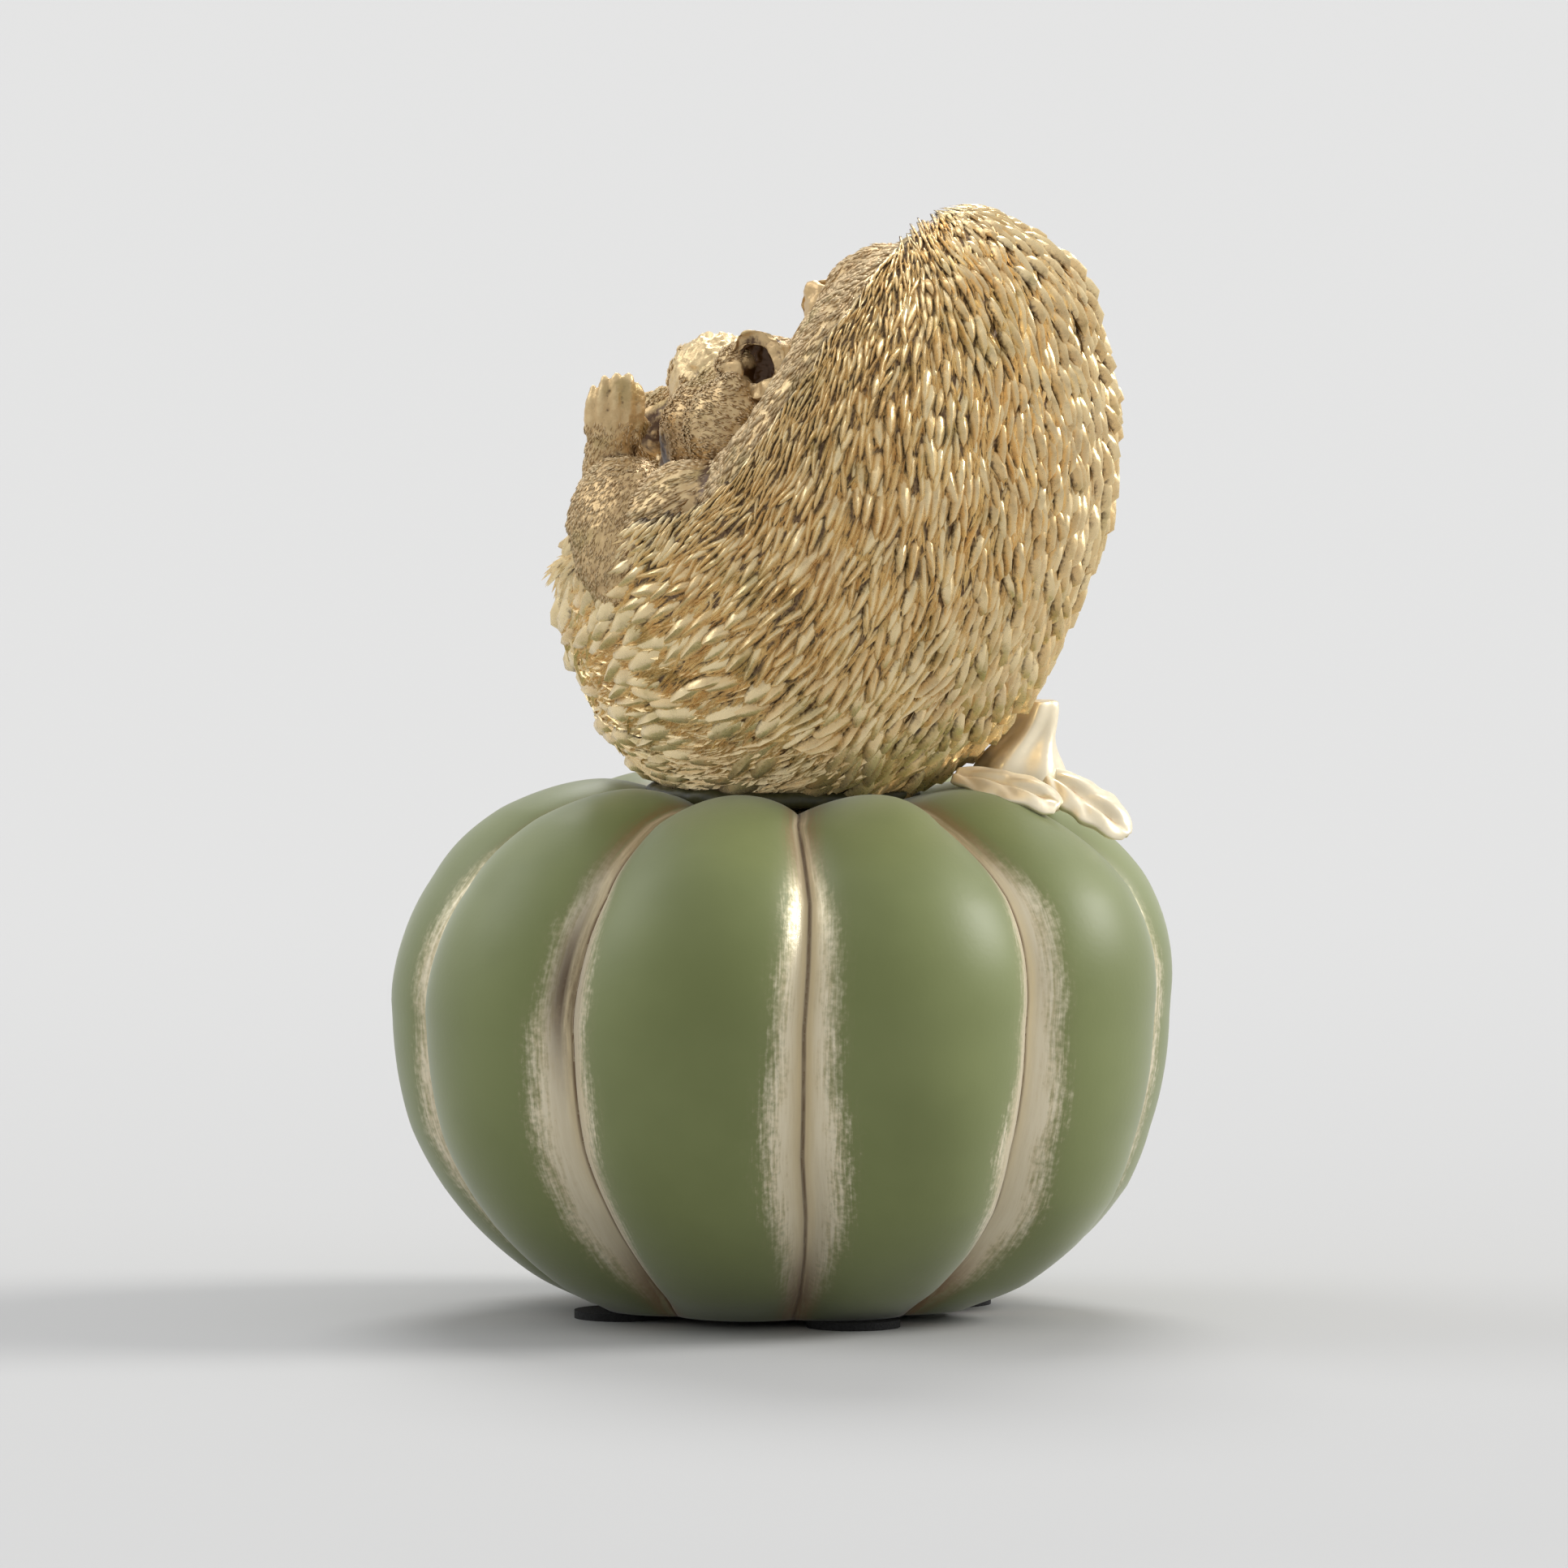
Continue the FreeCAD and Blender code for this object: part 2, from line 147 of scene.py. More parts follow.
def finish(thing, material, nodes=(), angle=180):
    pick(thing)
    thing.data.materials.clear()
    thing.data.materials.append(material)
    bpy.ops.object.shade_smooth_by_angle(angle=math.radians(angle))
    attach(thing, "root")
    if nodes:
        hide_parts(*nodes)
    return thing


def toRow(thing):
    thing.data.transform(bodyPlace)
    points = readPoints(thing)
    over = np.maximum(points[:, 2] - crown["start"], 0)
    points[:, 2] -= over * (1 - crown["share"])
    writePoints(thing, points)


def heightOf(points):   # of the animal's points above the table, in mm
    return points @ tableUp + seat["middle"][2]


def smoothStep(low, high, values):
    share = np.clip((values - low) / (high - low), 0, 1)
    return share * share * (3 - 2 * share)


def unit(vectors):
    return vectors / np.maximum(np.linalg.norm(vectors, axis=-1, keepdims=True), 1e-12)


def farFrom(points, place):
    return np.linalg.norm(points - place, axis=1)


class Tree:   # short ways to put and join shader nodes
    def __init__(self, tree):
        self.tree = tree

    def put(self, kind, **settings):
        node = self.tree.nodes.new(kind)
        for key, value in settings.items():
            setattr(node, key, value)
        return node

    def join(self, source, target):
        self.tree.links.new(source, target)

    def feed(self, socket, value):
        if isinstance(value, bpy.types.NodeSocket):
            self.join(value, socket)
        else:
            socket.default_value = value

    def calc(self, operation, first, second, clamp=False):
        node = self.put("ShaderNodeMath", operation=operation, use_clamp=clamp)
        self.feed(node.inputs[0], first)
        self.feed(node.inputs[1], second)
        return node.outputs[0]

    def times(self, first, second):
        return self.calc("MULTIPLY", first, second)

    def ramp(self, value, fromMin, fromMax, toMin=0.0, toMax=1.0, smooth=True):
        node = self.put("ShaderNodeMapRange", interpolation_type="SMOOTHSTEP" if smooth else "LINEAR")
        for socket, number in zip(node.inputs, (value, fromMin, fromMax, toMin, toMax)):
            self.feed(socket, number)
        return node.outputs[0]

    def blend(self, share, first, second):
        node = self.put("ShaderNodeMix", data_type="RGBA", blend_type="MIX")
        self.feed(node.inputs[0], share)
        self.feed(node.inputs[6], first)
        self.feed(node.inputs[7], second)
        return node.outputs[2]

    def noise(self, vector, scale, detail=3.0, roughness=0.55):
        node = self.put("ShaderNodeTexNoise")
        self.join(vector, node.inputs["Vector"])
        node.inputs["Scale"].default_value = scale
        node.inputs["Detail"].default_value = detail
        node.inputs["Roughness"].default_value = roughness
        return node.outputs[0]

    def trait(self, name, output="Fac"):
        return self.put("ShaderNodeAttribute", attribute_name=name).outputs[output]

    def objectPlace(self):
        return self.put("ShaderNodeTexCoord").outputs["Object"]

    def split(self, vector):
        node = self.put("ShaderNodeSeparateXYZ")
        self.join(vector, node.inputs[0])
        return node.outputs

    def bump(self, height, strength, distance):
        node = self.put("ShaderNodeBump")
        node.inputs["Strength"].default_value = strength
        node.inputs["Distance"].default_value = distance
        self.join(height, node.inputs["Height"])
        return node.outputs[0]


def newMaterial(name):
    material = bpy.data.materials.new(name)
    material.use_nodes = True
    return material, Tree(material.node_tree), material.node_tree.nodes["Principled BSDF"]


def rgb(red, green, blue):   # a colour as it is read on a screen, made linear
    return tuple(((value / 255 + 0.055) / 1.055) ** 2.4 for value in (red, green, blue)) + (1.0,)


print("camera, lights and floor")
shot = {"aim": (0.0001, 0.0, 0.0609), "distance": 3.0, "elevation": 4.6, "widthSeen": 0.18056,
        "sensor": 36, "clip": (0.5, 60)}
rise = math.radians(shot["elevation"])
eye = Vector(shot["aim"]) + shot["distance"] * Vector((0, -math.cos(rise), math.sin(rise)))
bpy.ops.object.camera_add(location=eye, rotation=(math.radians(90) - rise, 0, 0))
camera = bpy.context.object
camera.data.sensor_width = shot["sensor"]
camera.data.lens = shot["sensor"] * shot["distance"] / shot["widthSeen"]
camera.data.clip_start, camera.data.clip_end = shot["clip"]
bpy.context.scene.camera = camera
bpy.context.scene.view_settings.view_transform = "Standard"

lampTable = {
    # name: where it shines from, strength, soft angle in degrees, colour
    "keyLight": ((0.88, 0.14, 0.54), 2.35, 24, (1.0, 0.985, 0.96)),
    "sideLight": ((-0.74, 0.20, 0.62), 0.68, 36, (0.98, 0.99, 1.0)),
    "topLight": ((0.02, 0.66, 0.75), 1.40, 24, (1.0, 1.0, 1.0)),
}
for name, (place, strength, softAngle, colour) in lampTable.items():
    bpy.ops.object.light_add(type="SUN", location=place)
    lamp = bpy.context.object
    lamp.name = name
    lamp.data.energy = strength
    lamp.data.angle = math.radians(softAngle)
    lamp.data.color = colour
    lamp.rotation_euler = (-Vector(place)).to_track_quat("-Z", "Y").to_euler()

sky = {
    "dim": (0.41, 0.413, 0.416, 1), "lit": (0.80, 0.805, 0.81, 1),
    # soft boxes, by axis: where each starts, where it is full, how bright it is
    "boxes": [(2, 0.15, 0.85, 0.85), (0, 0.25, 0.85, 1.0), (0, -0.35, -0.9, 0.85), (1, 0.1, 0.8, 0.6)],
}
world = bpy.data.worlds.new("studio")
bpy.context.scene.world = world
world.use_nodes = True
t = Tree(world.node_tree)
worldBack = world.node_tree.nodes["Background"]
worldBack.inputs["Strength"].default_value = 1.0
ways = t.split(t.put("ShaderNodeTexCoord").outputs["Generated"])
boxes = [t.ramp(ways[axis], start, full, 0.0, most) for axis, start, full, most in sky["boxes"]]
glow = boxes[0]
for box in boxes[1:]:
    glow = t.calc("MAXIMUM", glow, box)
t.join(t.blend(glow, sky["dim"], sky["lit"]), worldBack.inputs["Color"])

# painted shade: the floor is darker in front of the object and lighter behind it
studio = {"size": 40, "middle": (0, 10, 0), "near": ((0.425, 0.425, 0.425, 1), (0.435, 0.435, 0.435, 1)),
          "far": (0.475, 0.475, 0.475, 1), "shadeFade": (-10.25, -9.4), "roughness": 0.75, "gloss": 0.15}
bpy.ops.mesh.primitive_plane_add(size=studio["size"], location=studio["middle"])
studioFloor = takeNew("studioFloor")
floorMaterial, t, shader = newMaterial("paleFloor")
shader.inputs["Roughness"].default_value = studio["roughness"]
shader.inputs["Specular IOR Level"].default_value = studio["gloss"]
depth = t.split(t.objectPlace())[1]
near = t.blend(t.ramp(t.noise(t.objectPlace(), 3.0), 0.3, 0.7), *studio["near"])
t.join(t.blend(t.ramp(depth, *studio["shadeFade"]), near, studio["far"]), shader.inputs["Base Color"])
studioFloor.data.materials.append(floorMaterial)

print("materials")


def groupOf(name, inputs, outputs):
    group = bpy.data.node_groups.new(name, "ShaderNodeTree")
    for label, kind in inputs:
        group.interface.new_socket(name=label, in_out="INPUT", socket_type=kind)
    for label, kind in outputs:
        group.interface.new_socket(name=label, in_out="OUTPUT", socket_type=kind)
    tree = Tree(group)
    return group, tree, tree.put("NodeGroupInput").outputs, tree.put("NodeGroupOutput").inputs


# several tones of old gold paint; low points get the deep tone, partly dark patina in the hollows and partly painted
# shade
oldGold = {"patches": 170.0, "specks": 2300.0, "speckle": 0.55, "clouding": 0.30,
           "warm": (0.46, 0.26, 0.11, 1), "olive": (0.36, 0.30, 0.10, 1)}
goldTone, t, enter, leave = groupOf(
    "goldTone",
    [("Place", "NodeSocketVector"), ("Height", "NodeSocketFloat"), ("Tone", "NodeSocketFloat"),
     ("Light", "NodeSocketColor"), ("Middle", "NodeSocketColor"), ("Deep", "NodeSocketColor")],
    [("Color", "NodeSocketColor"), ("Rubbed", "NodeSocketFloat"), ("Grain", "NodeSocketFloat")],
)
patches = t.noise(enter["Place"], oldGold["patches"], 3.0)
specks = t.noise(enter["Place"], oldGold["specks"], 2.0)
level = t.calc("ADD", enter["Height"], t.times(t.calc("SUBTRACT", specks, 0.5), oldGold["speckle"]))
level = t.calc("ADD", level, t.times(t.calc("SUBTRACT", patches, 0.5), oldGold["clouding"]))
tinted = t.blend(t.ramp(enter["Tone"], 0.0, 1.0), enter["Middle"], enter["Light"])
warm = t.blend(t.ramp(patches, 0.52, 0.68, 0.0, 0.28), tinted, oldGold["warm"])
olive = t.blend(t.ramp(patches, 0.46, 0.32, 0.0, 0.35), warm, oldGold["olive"])
base = t.blend(t.ramp(level, 0.08, 0.52), enter["Deep"], olive)
t.join(t.blend(t.ramp(level, 0.60, 1.05, 0.0, 0.75), base, enter["Light"]), leave["Color"])
t.join(t.ramp(level, 0.15, 0.65), leave["Rubbed"])
t.join(specks, leave["Grain"])


def goldPaint(name, light, middle, deep, metal, rough, bumpStrength):
    material, t, shader = newMaterial(name)
    gold = t.put("ShaderNodeGroup", node_tree=goldTone)
    t.join(t.objectPlace(), gold.inputs["Place"])
    t.join(t.trait("ridge"), gold.inputs["Height"])
    t.join(t.trait("tone"), gold.inputs["Tone"])
    for label, tone in (("Light", light), ("Middle", middle), ("Deep", deep)):
        gold.inputs[label].default_value = rgb(*tone)
    t.join(gold.outputs["Color"], shader.inputs["Base Color"])
    t.join(t.ramp(gold.outputs["Rubbed"], 0, 1, metal * 0.35, metal), shader.inputs["Metallic"])
    t.join(t.ramp(gold.outputs["Grain"], 0.3, 0.7, rough - 0.05, rough + 0.09), shader.inputs["Roughness"])
    t.join(t.bump(gold.outputs["Grain"], bumpStrength, 0.00012), shader.inputs["Normal"])
    return material


goldPaints = {
    # name: light, middle and deep tone, metal, roughness, bump
    "spineGold": ((248, 226, 178), (230, 197, 141), (74, 52, 24), 0.68, 0.29, 0.25),
    "furGold": ((232, 208, 166), (210, 180, 136), (166, 134, 90), 0.5, 0.42, 0.3),
    "skinGold": ((232, 206, 158), (196, 162, 112), (84, 54, 22), 0.6, 0.38, 0.5),
    "paleGold": ((250, 238, 210), (244, 226, 186), (206, 142, 74), 0.5, 0.33, 0.03),
}
spineGold, furGold, skinGold, paleGold = [goldPaint(name, *values) for name, values in goldPaints.items()]

tones = {
    "green": (rgb(111, 120, 66), rgb(119, 128, 74)), "footShadeGreen": rgb(98, 104, 66), "haze": rgb(136, 134, 92),
    "gold": (rgb(216, 201, 166), rgb(236, 225, 197)), "thickGold": rgb(230, 219, 192),
    "glaze": rgb(142, 98, 52), "pocket": rgb(78, 54, 32), "seamHighlight": rgb(232, 218, 184), "line": rgb(104, 74, 44),
    # half width of the gold from the foot to the crown, as shares of the widest, which is in mm
    "widest": 5.6, "widths": [(0.0, 0.10), (0.07, 0.50), (0.2, 0.86), (0.36, 0.92), (0.52, 0.74), (0.68, 0.70),
                              (0.82, 0.52), (0.93, 0.22), (1.0, 0.10)],
    "sheen": 0.30, "sheenRoughness": 0.45,
}


def pumpkinPaint():
    material, t, shader = newMaterial("greenPaint")
    place = t.objectPlace()
    gap, along, seam = t.split(t.trait("seamPlace", "Vector"))   # mm from the seam, mm up it, number of the strip
    rise = t.trait("riseShare")
    brush = t.put("ShaderNodeCombineXYZ")
    for socket, value, scale in zip(brush.inputs, (gap, along, seam), (2.6, 0.17, 7.3)):
        t.join(t.times(value, scale), socket)
    streaks = t.noise(brush.outputs[0], 1.0, 5.0, 0.62)
    slow = t.put("ShaderNodeCombineXYZ")
    t.join(t.times(along, 0.055), slow.inputs[1])
    t.join(t.times(seam, 3.1), slow.inputs[2])
    drift = t.noise(slow.outputs[0], 1.0, 2.0)
    widths = t.put("ShaderNodeValToRGB")
    t.join(rise, widths.inputs[0])
    marks = widths.color_ramp.elements
    first, *between, last = tones["widths"]
    for mark, (position, share) in ((marks[0], first), (marks[1], last)):
        mark.position, mark.color = position, (share, share, share, 1)
    for position, share in between:
        marks.new(position).color = (share, share, share, 1)
    reach = t.times(widths.outputs[0], tones["widest"])
    reach = t.times(reach, t.ramp(drift, 0.25, 0.75, 0.75, 1.3, False))
    clouds = t.noise(place, 55.0, 3.0)
    fine = t.noise(place, 1500.0, 2.0)
    ragged = t.calc("ADD", t.times(streaks, 0.6), t.times(fine, 0.55))
    edge = t.calc("SUBTRACT", t.times(reach, t.ramp(ragged, 0.25, 0.95, 0.5, 1.35, False)), gap)
    gilt = t.ramp(edge, -1.3, 2.0)
    thick = t.ramp(edge, 0.4, 2.8)
    green = t.blend(t.ramp(clouds, 0.3, 0.7), *tones["green"])
    # painted shade: the green is darker towards the foot
    green = t.blend(t.ramp(rise, 0.0, 0.25, 0.35, 0.0), green, tones["footShadeGreen"])
    haze = t.blend(t.times(t.ramp(edge, -2.8, 0.2), 0.3), green, tones["haze"])
    gold = t.blend(t.ramp(streaks, 0.35, 0.65), *tones["gold"])
    gold = t.blend(t.times(thick, 0.7), gold, tones["thickGold"])
    color = t.blend(gilt, haze, gold)
    # old brown glaze deep in the seam, at its ends and in a few pockets
    ends = t.calc("ADD", t.ramp(rise, 0.80, 0.97), t.ramp(rise, 0.16, 0.03))
    glaze = t.times(t.ramp(gap, 3.4, 0.3), t.times(ends, t.ramp(streaks, 0.3, 0.55)))
    color = t.blend(t.calc("MULTIPLY", glaze, 0.7, clamp=True), color, tones["glaze"])
    pocket = t.times(t.trait("pocket"), t.ramp(ragged, 0.2, 0.6, 0.6, 1.0))
    color = t.blend(t.times(pocket, 0.92), color, tones["pocket"])
    # painted highlight: pale gold along the middle of the seam
    seamHighlight = t.times(t.ramp(gap, 1.25, 0.7), t.ramp(rise, 0.2, 0.5))
    color = t.blend(t.times(seamHighlight, t.ramp(streaks, 0.3, 0.7, 0.2, 0.8)), color, tones["seamHighlight"])
    line = t.times(t.times(t.ramp(gap, 0.40, 0.12), t.ramp(drift, 0.35, 0.55, 0.35, 1.0)), 0.8)
    t.join(t.blend(line, color, tones["line"]), shader.inputs["Base Color"])
    t.join(t.times(t.times(gilt, 0.5), t.calc("SUBTRACT", 1.0, line)), shader.inputs["Metallic"])
    t.join(t.ramp(gilt, 0, 1, 0.47, 0.33), shader.inputs["Roughness"])
    height = t.calc("ADD", t.times(fine, 0.35), t.times(streaks, gilt))
    t.join(t.bump(height, 0.22, 0.00015), shader.inputs["Normal"])
    shader.inputs["Sheen Weight"].default_value = tones["sheen"]
    shader.inputs["Sheen Roughness"].default_value = tones["sheenRoughness"]
    return material


def plainPaint(name, first, second, scale, rough, metal, bumpStrength, bumpDistance):
    material, t, shader = newMaterial(name)
    grain = t.noise(t.objectPlace(), scale, 4.0, 0.6)
    t.join(t.blend(t.ramp(grain, 0.3, 0.7), rgb(*first), rgb(*second)), shader.inputs["Base Color"])
    t.join(t.ramp(grain, 0.3, 0.7, rough - 0.05, rough + 0.05), shader.inputs["Roughness"])
    shader.inputs["Metallic"].default_value = metal
    t.join(t.bump(grain, bumpStrength, bumpDistance), shader.inputs["Normal"])
    return material


plainPaints = {
    # name: two tones, scale of the grain, roughness, metal, bump and its depth, CAD nodes that stay
    "blackFelt": ((18, 18, 18), (38, 38, 38), 2600.0, 0.93, 0.0, 0.8, 0.0003,
                  ["felt_pad_front", "felt_pad_right", "felt_pad_back", "felt_pad_left"]),
    "darkGlue": ((48, 50, 28), (74, 72, 40), 700.0, 0.5, 0.0, 0.3, 0.0002, []),
    "greyFiller": ((150, 148, 140), (176, 172, 160), 900.0, 0.75, 0.0, 0.5, 0.0002, ["base_plug"]),
    "rodSteel": ((150, 150, 152), (182, 182, 184), 1500.0, 0.32, 1.0, 0.2, 0.00005, ["locating_dowel"]),
}
plain = {}
for name, (*values, keptNodes) in plainPaints.items():
    plain[name] = plainPaint(name, *values)
    for nodeName in keptNodes:
        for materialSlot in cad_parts[nodeName].material_slots:
            materialSlot.material = plain[name]

print("pumpkin")
pumpkin = {
    "radius": 45.6, "height": 60.4, "foot": 0.9, "lobeDepth": 3.9, "lobes": 9, "firstSeam": -86.7,
    # crest radius, crest height, lobe depth, drop at the seam, as shares
    "rings": [(0.493, 0.000, 0.62, 0.0), (0.655, 0.060, 0.90, -0.015), (0.815, 0.175, 1.02, -0.015),
              (0.942, 0.345, 1.02, -0.008), (1.0, 0.560, 1.0, 0.0), (0.972, 0.725, 1.02, 0.008),
              (0.860, 0.866, 1.0, 0.025), (0.680, 0.963, 0.9, 0.038), (0.505, 1.0, 0.6, 0.042),
              (0.340, 0.978, 0.28, 0.032), (0.232, 0.940, 0.12, 0.008)],
    # the hand-made casting isn't quite round: height, mm to the right, and height, mm fuller
    "shift": [(1, 0), (4, 0.5), (9, 0.7), (14, 0.6), (21, 0), (30, 0.05), (36, 0.05), (43, 0.6), (50, 1.0),
              (58, 0.4), (61, 1.4)],
    "fuller": [(1, 0), (4, 0.5), (9, 0.9), (14, 1.1), (21, 0.6), (28, 0.25), (34, -0.1), (38, 0), (62, 0)],
    # brown pockets of glaze: strip, rise share, reach, strength
    "pockets": [(15, 0.66, 0.17, 1.0), (3, 0.42, 0.12, 0.7), (6, 0.70, 0.10, 0.8), (11, 0.5, 0.2, 0.8)],
    # steps that close it round the plug and at the seat: radius, height
    "footRims": [(16, 0.9), (10, 0.9), (10, 2.95), (8.05, 2.95), (8.05, 8.05)],
    "crownRims": [(8, 57.5), (2.2, 57.5), (2.2, 48.6)],
    "columns": 36, "rows": 110, "lineSteps": 400, "crowding": 1.5, "groove": 0.5, "grooveWidth": 0.6,
    "valley": 0.9, "valleyWidth": 2.6, "uneven": 0.35, "unevenPerMm": 0.055,
}


def smoothLine(stations, count):   # a curve through all the stations
    stations = np.array(stations, dtype=float)
    padded = np.vstack([2 * stations[0] - stations[1], stations, 2 * stations[-1] - stations[-2]])
    spans = len(stations) - 1
    out = []
    for share in np.linspace(0, spans, count):
        start = min(int(share), spans - 1)
        step = share - start
        a, b, c, d = padded[start:start + 4]
        out.append(0.5 * (2 * b + (c - a) * step + (2 * a - 5 * b + 4 * c - d) * step ** 2
                          + (3 * b - a - 3 * c + d) * step ** 3))
    return np.array(out)


def lobeSheet(number):
    bpy.ops.mesh.primitive_grid_add(x_subdivisions=pumpkin["columns"], y_subdivisions=pumpkin["rows"], size=1)
    sheet = takeNew("lobe")
    points = readPoints(sheet)
    u = points[:, 0] + 0.5
    v = points[:, 1] + 0.5
    line = smoothLine(pumpkin["rings"], pumpkin["lineSteps"])
    steps = np.linspace(0, 1, pumpkin["lineSteps"])
    radiusShare, riseShare, depthShare, dropShare = (np.interp(v, steps, line[:, k]) for k in range(4))
    size = pumpkin["radius"]
    crest = radiusShare * size
    seamRadius = crest - depthShare * pumpkin["lobeDepth"]
    half = math.radians(180 / pumpkin["lobes"])
    sagitta = crest - seamRadius * math.cos(half)
    chord = seamRadius * math.sin(half)
    bend = (chord ** 2 + sagitta ** 2) / (2 * sagitta)
    fullTurn = np.arctan2(chord, bend - sagitta)
    w = 2 * u - 1
    turn = np.sign(w) * (1 - (1 - np.abs(w)) ** pumpkin["crowding"]) * fullTurn
    x = crest - bend + bend * np.cos(turn)
    y = bend * np.sin(turn)
    rise = riseShare - dropShare * (crest - x) / sagitta
    z = pumpkin["foot"] + rise * pumpkin["height"]
    gap = (fullTurn - np.abs(turn)) * bend
    cut = pumpkin["groove"] * np.exp(-(gap / pumpkin["grooveWidth"]) ** 2)
    cut += pumpkin["valley"] * np.exp(-(gap / pumpkin["valleyWidth"]) ** 2)
    cut *= smoothStep(0, 0.08, v) * smoothStep(1, 0.85, v)
    outward = np.hypot(x, y)
    x -= cut * x / outward
    y -= cut * y / outward
    middle = math.radians(pumpkin["firstSeam"] + (number + 0.5) * 360 / pumpkin["lobes"])
    fuller = 1 + np.interp(z, *zip(*pumpkin["fuller"])) / np.hypot(x, y)
    worldX = (x * math.cos(middle) - y * math.sin(middle)) * fuller + np.interp(z, *zip(*pumpkin["shift"]))
    worldY = (x * math.sin(middle) + y * math.cos(middle)) * fuller
    # hand-made unevenness, always inwards
    push = np.array([noise.noise(Vector(spot) * pumpkin["unevenPerMm"]) for spot in zip(worldX, worldY, z)])
    push = 1 - pumpkin["uneven"] * (0.5 + 0.5 * push) / size * smoothStep(0, 0.1, v)
    writePoints(sheet, np.column_stack([worldX * push, worldY * push, z]) * mm)
    stretches = np.hypot(np.diff(line[:, 0]) * size, np.diff(line[:, 1]) * pumpkin["height"])
    length = np.interp(v, steps, np.concatenate([[0], np.cumsum(stretches)]))
    strip = 2 * number + np.where(u < 0.5, 0, 1)
    writeTrait(sheet, "seamPlace", np.column_stack([gap, length, strip]), "FLOAT_VECTOR")
    writeTrait(sheet, "riseShare", riseShare)
    pocket = np.zeros(len(points))
    for place, level, reach, strength in pumpkin["pockets"]:
        pocket += strength * (strip == place) * np.exp(-((riseShare - level) / reach) ** 2)
    writeTrait(sheet, "pocket", pocket * smoothStep(3.4, 1.2, gap) * (v > 0.1))
    return sheet


def closeRim(thing, low, stations):
    mesh = thing.data
    intoEdit("DESELECT")
    bpy.ops.mesh.select_mode(type="EDGE")
    bpy.ops.mesh.select_non_manifold(use_wire=False, use_multi_face=False, use_non_contiguous=False, use_verts=False)
    outOfEdit()
    for vertex in mesh.vertices:
        vertex.select = False
    for edge in mesh.edges:
        isLow = mesh.vertices[edge.vertices[0]].co.z < pumpkin["height"] / 3 * mm
        edge.select = edge.select and isLow == low
        if edge.select:
            for corner in edge.vertices:
                mesh.vertices[corner].select = True
    for radius, height in stations:
        intoEdit()
        bpy.ops.mesh.extrude_edges_move()
        outOfEdit()
        for vertex in mesh.vertices:
            if vertex.select:
                scale = radius * mm / math.hypot(vertex.co.x, vertex.co.y)
                vertex.co = (vertex.co.x * scale, vertex.co.y * scale, height * mm)
    intoEdit()
    bpy.ops.mesh.edge_face_add()
    outOfEdit()


pumpkinBody = joinAll([lobeSheet(number) for number in range(pumpkin["lobes"])], "pumpkinBody")
intoEdit("SELECT")
bpy.ops.mesh.remove_doubles(threshold=0.00002)
outOfEdit()
closeRim(pumpkinBody, True, pumpkin["footRims"])
closeRim(pumpkinBody, False, pumpkin["crownRims"])
turnOutward(pumpkinBody)
finish(pumpkinBody, pumpkinPaint(), ["pumpkin_shell"], angle=60)

print("spine and hair")
spine = {
    # share of the length: width, lift, dome, place along it
    "profile": [(0, 0.50, -0.45, 0.0, 0), (0.25, 0.95, 0.12, 0.36, 0.28), (0.5, 0.86, 0.50, 0.50, 0.56),
                (0.75, 0.50, 0.84, 0.34, 0.83), (1, 0.02, 1.0, 0.0, 1)],
    "domeRound": 1.25, "rimDrop": 0.22, "tipDrop": 0.1,
}
hair = {"root": (0, 0, -0.3), "right": (0.5, 0.40, -0.2), "left": (-0.5, 0.40, -0.2), "tip": (0, 1, 0.62),
        "top": (0, 0.5, 0.8)}


def spineShape():
    bpy.ops.mesh.primitive_grid_add(x_subdivisions=4, y_subdivisions=4, size=1)
    blade = takeNew("oneSpine")
    intoEdit("DESELECT")
    bpy.ops.mesh.select_mode(type="EDGE")
    bpy.ops.mesh.select_non_manifold()
    bpy.ops.mesh.edge_face_add()
    outOfEdit()
    points = readPoints(blade)
    along = points[:, 1] + 0.5
    across = points[:, 0] * 2
    rim = (np.abs(across) > 0.99) | (along < 0.01) | (along > 0.99)
    steps, *columns = zip(*spine["profile"])
    wide, lift, dome, place = (np.interp(along, steps, column) for column in columns)
    height = lift + dome * (1 - np.abs(across) ** spine["domeRound"])
    height = height - np.where(rim, spine["rimDrop"], 0.0) - np.where(along > 0.99, spine["tipDrop"], 0.0)
    shaped = np.column_stack([across * 0.5 * wide, place, height])
    # painted shade: the roots and rims, where the spines overlap, get low ridge values and the dark paint
    ridge = np.clip(0.25 + 0.75 * (1 - np.abs(across)) * smoothStep(0.0, 0.5, along), 0, 1)
    ridge = np.where(rim, 0.12 + 0.30 * smoothStep(0.5, 1.0, along), ridge)
    faces = [tuple(face.vertices) for face in blade.data.polygons]
    bpy.data.objects.remove(blade)
    return shaped, ridge, faces


def hairShape():   # a poked square, drawn out to root, sides and tip, and closed below
    bpy.ops.mesh.primitive_plane_add(size=1)
    thing = takeNew("oneHair")
    intoEdit("SELECT")
    bpy.ops.mesh.poke()
    outOfEdit()
    corners = {(-1, -1): "root", (1, -1): "right", (-1, 1): "left", (1, 1): "tip"}
    names = [corners.get((int(np.sign(round(x, 3))), int(np.sign(round(y, 3)))), "top")
             for x, y, z in readPoints(thing)]
    shaped = np.array([hair[name] for name in names])
    # painted shade: the root and sides, low on the skin, get the dark paint
    ridge = np.array([{"top": 0.95, "tip": 0.6}.get(name, 0.1) for name in names])
    faces = [tuple(face.vertices) for face in thing.data.polygons]
    faces.append(tuple(names.index(name) for name in ("root", "left", "tip", "right")))
    bpy.data.objects.remove(thing)
    return shaped, ridge, faces


oneSpine = spineShape()
oneHair = hairShape()


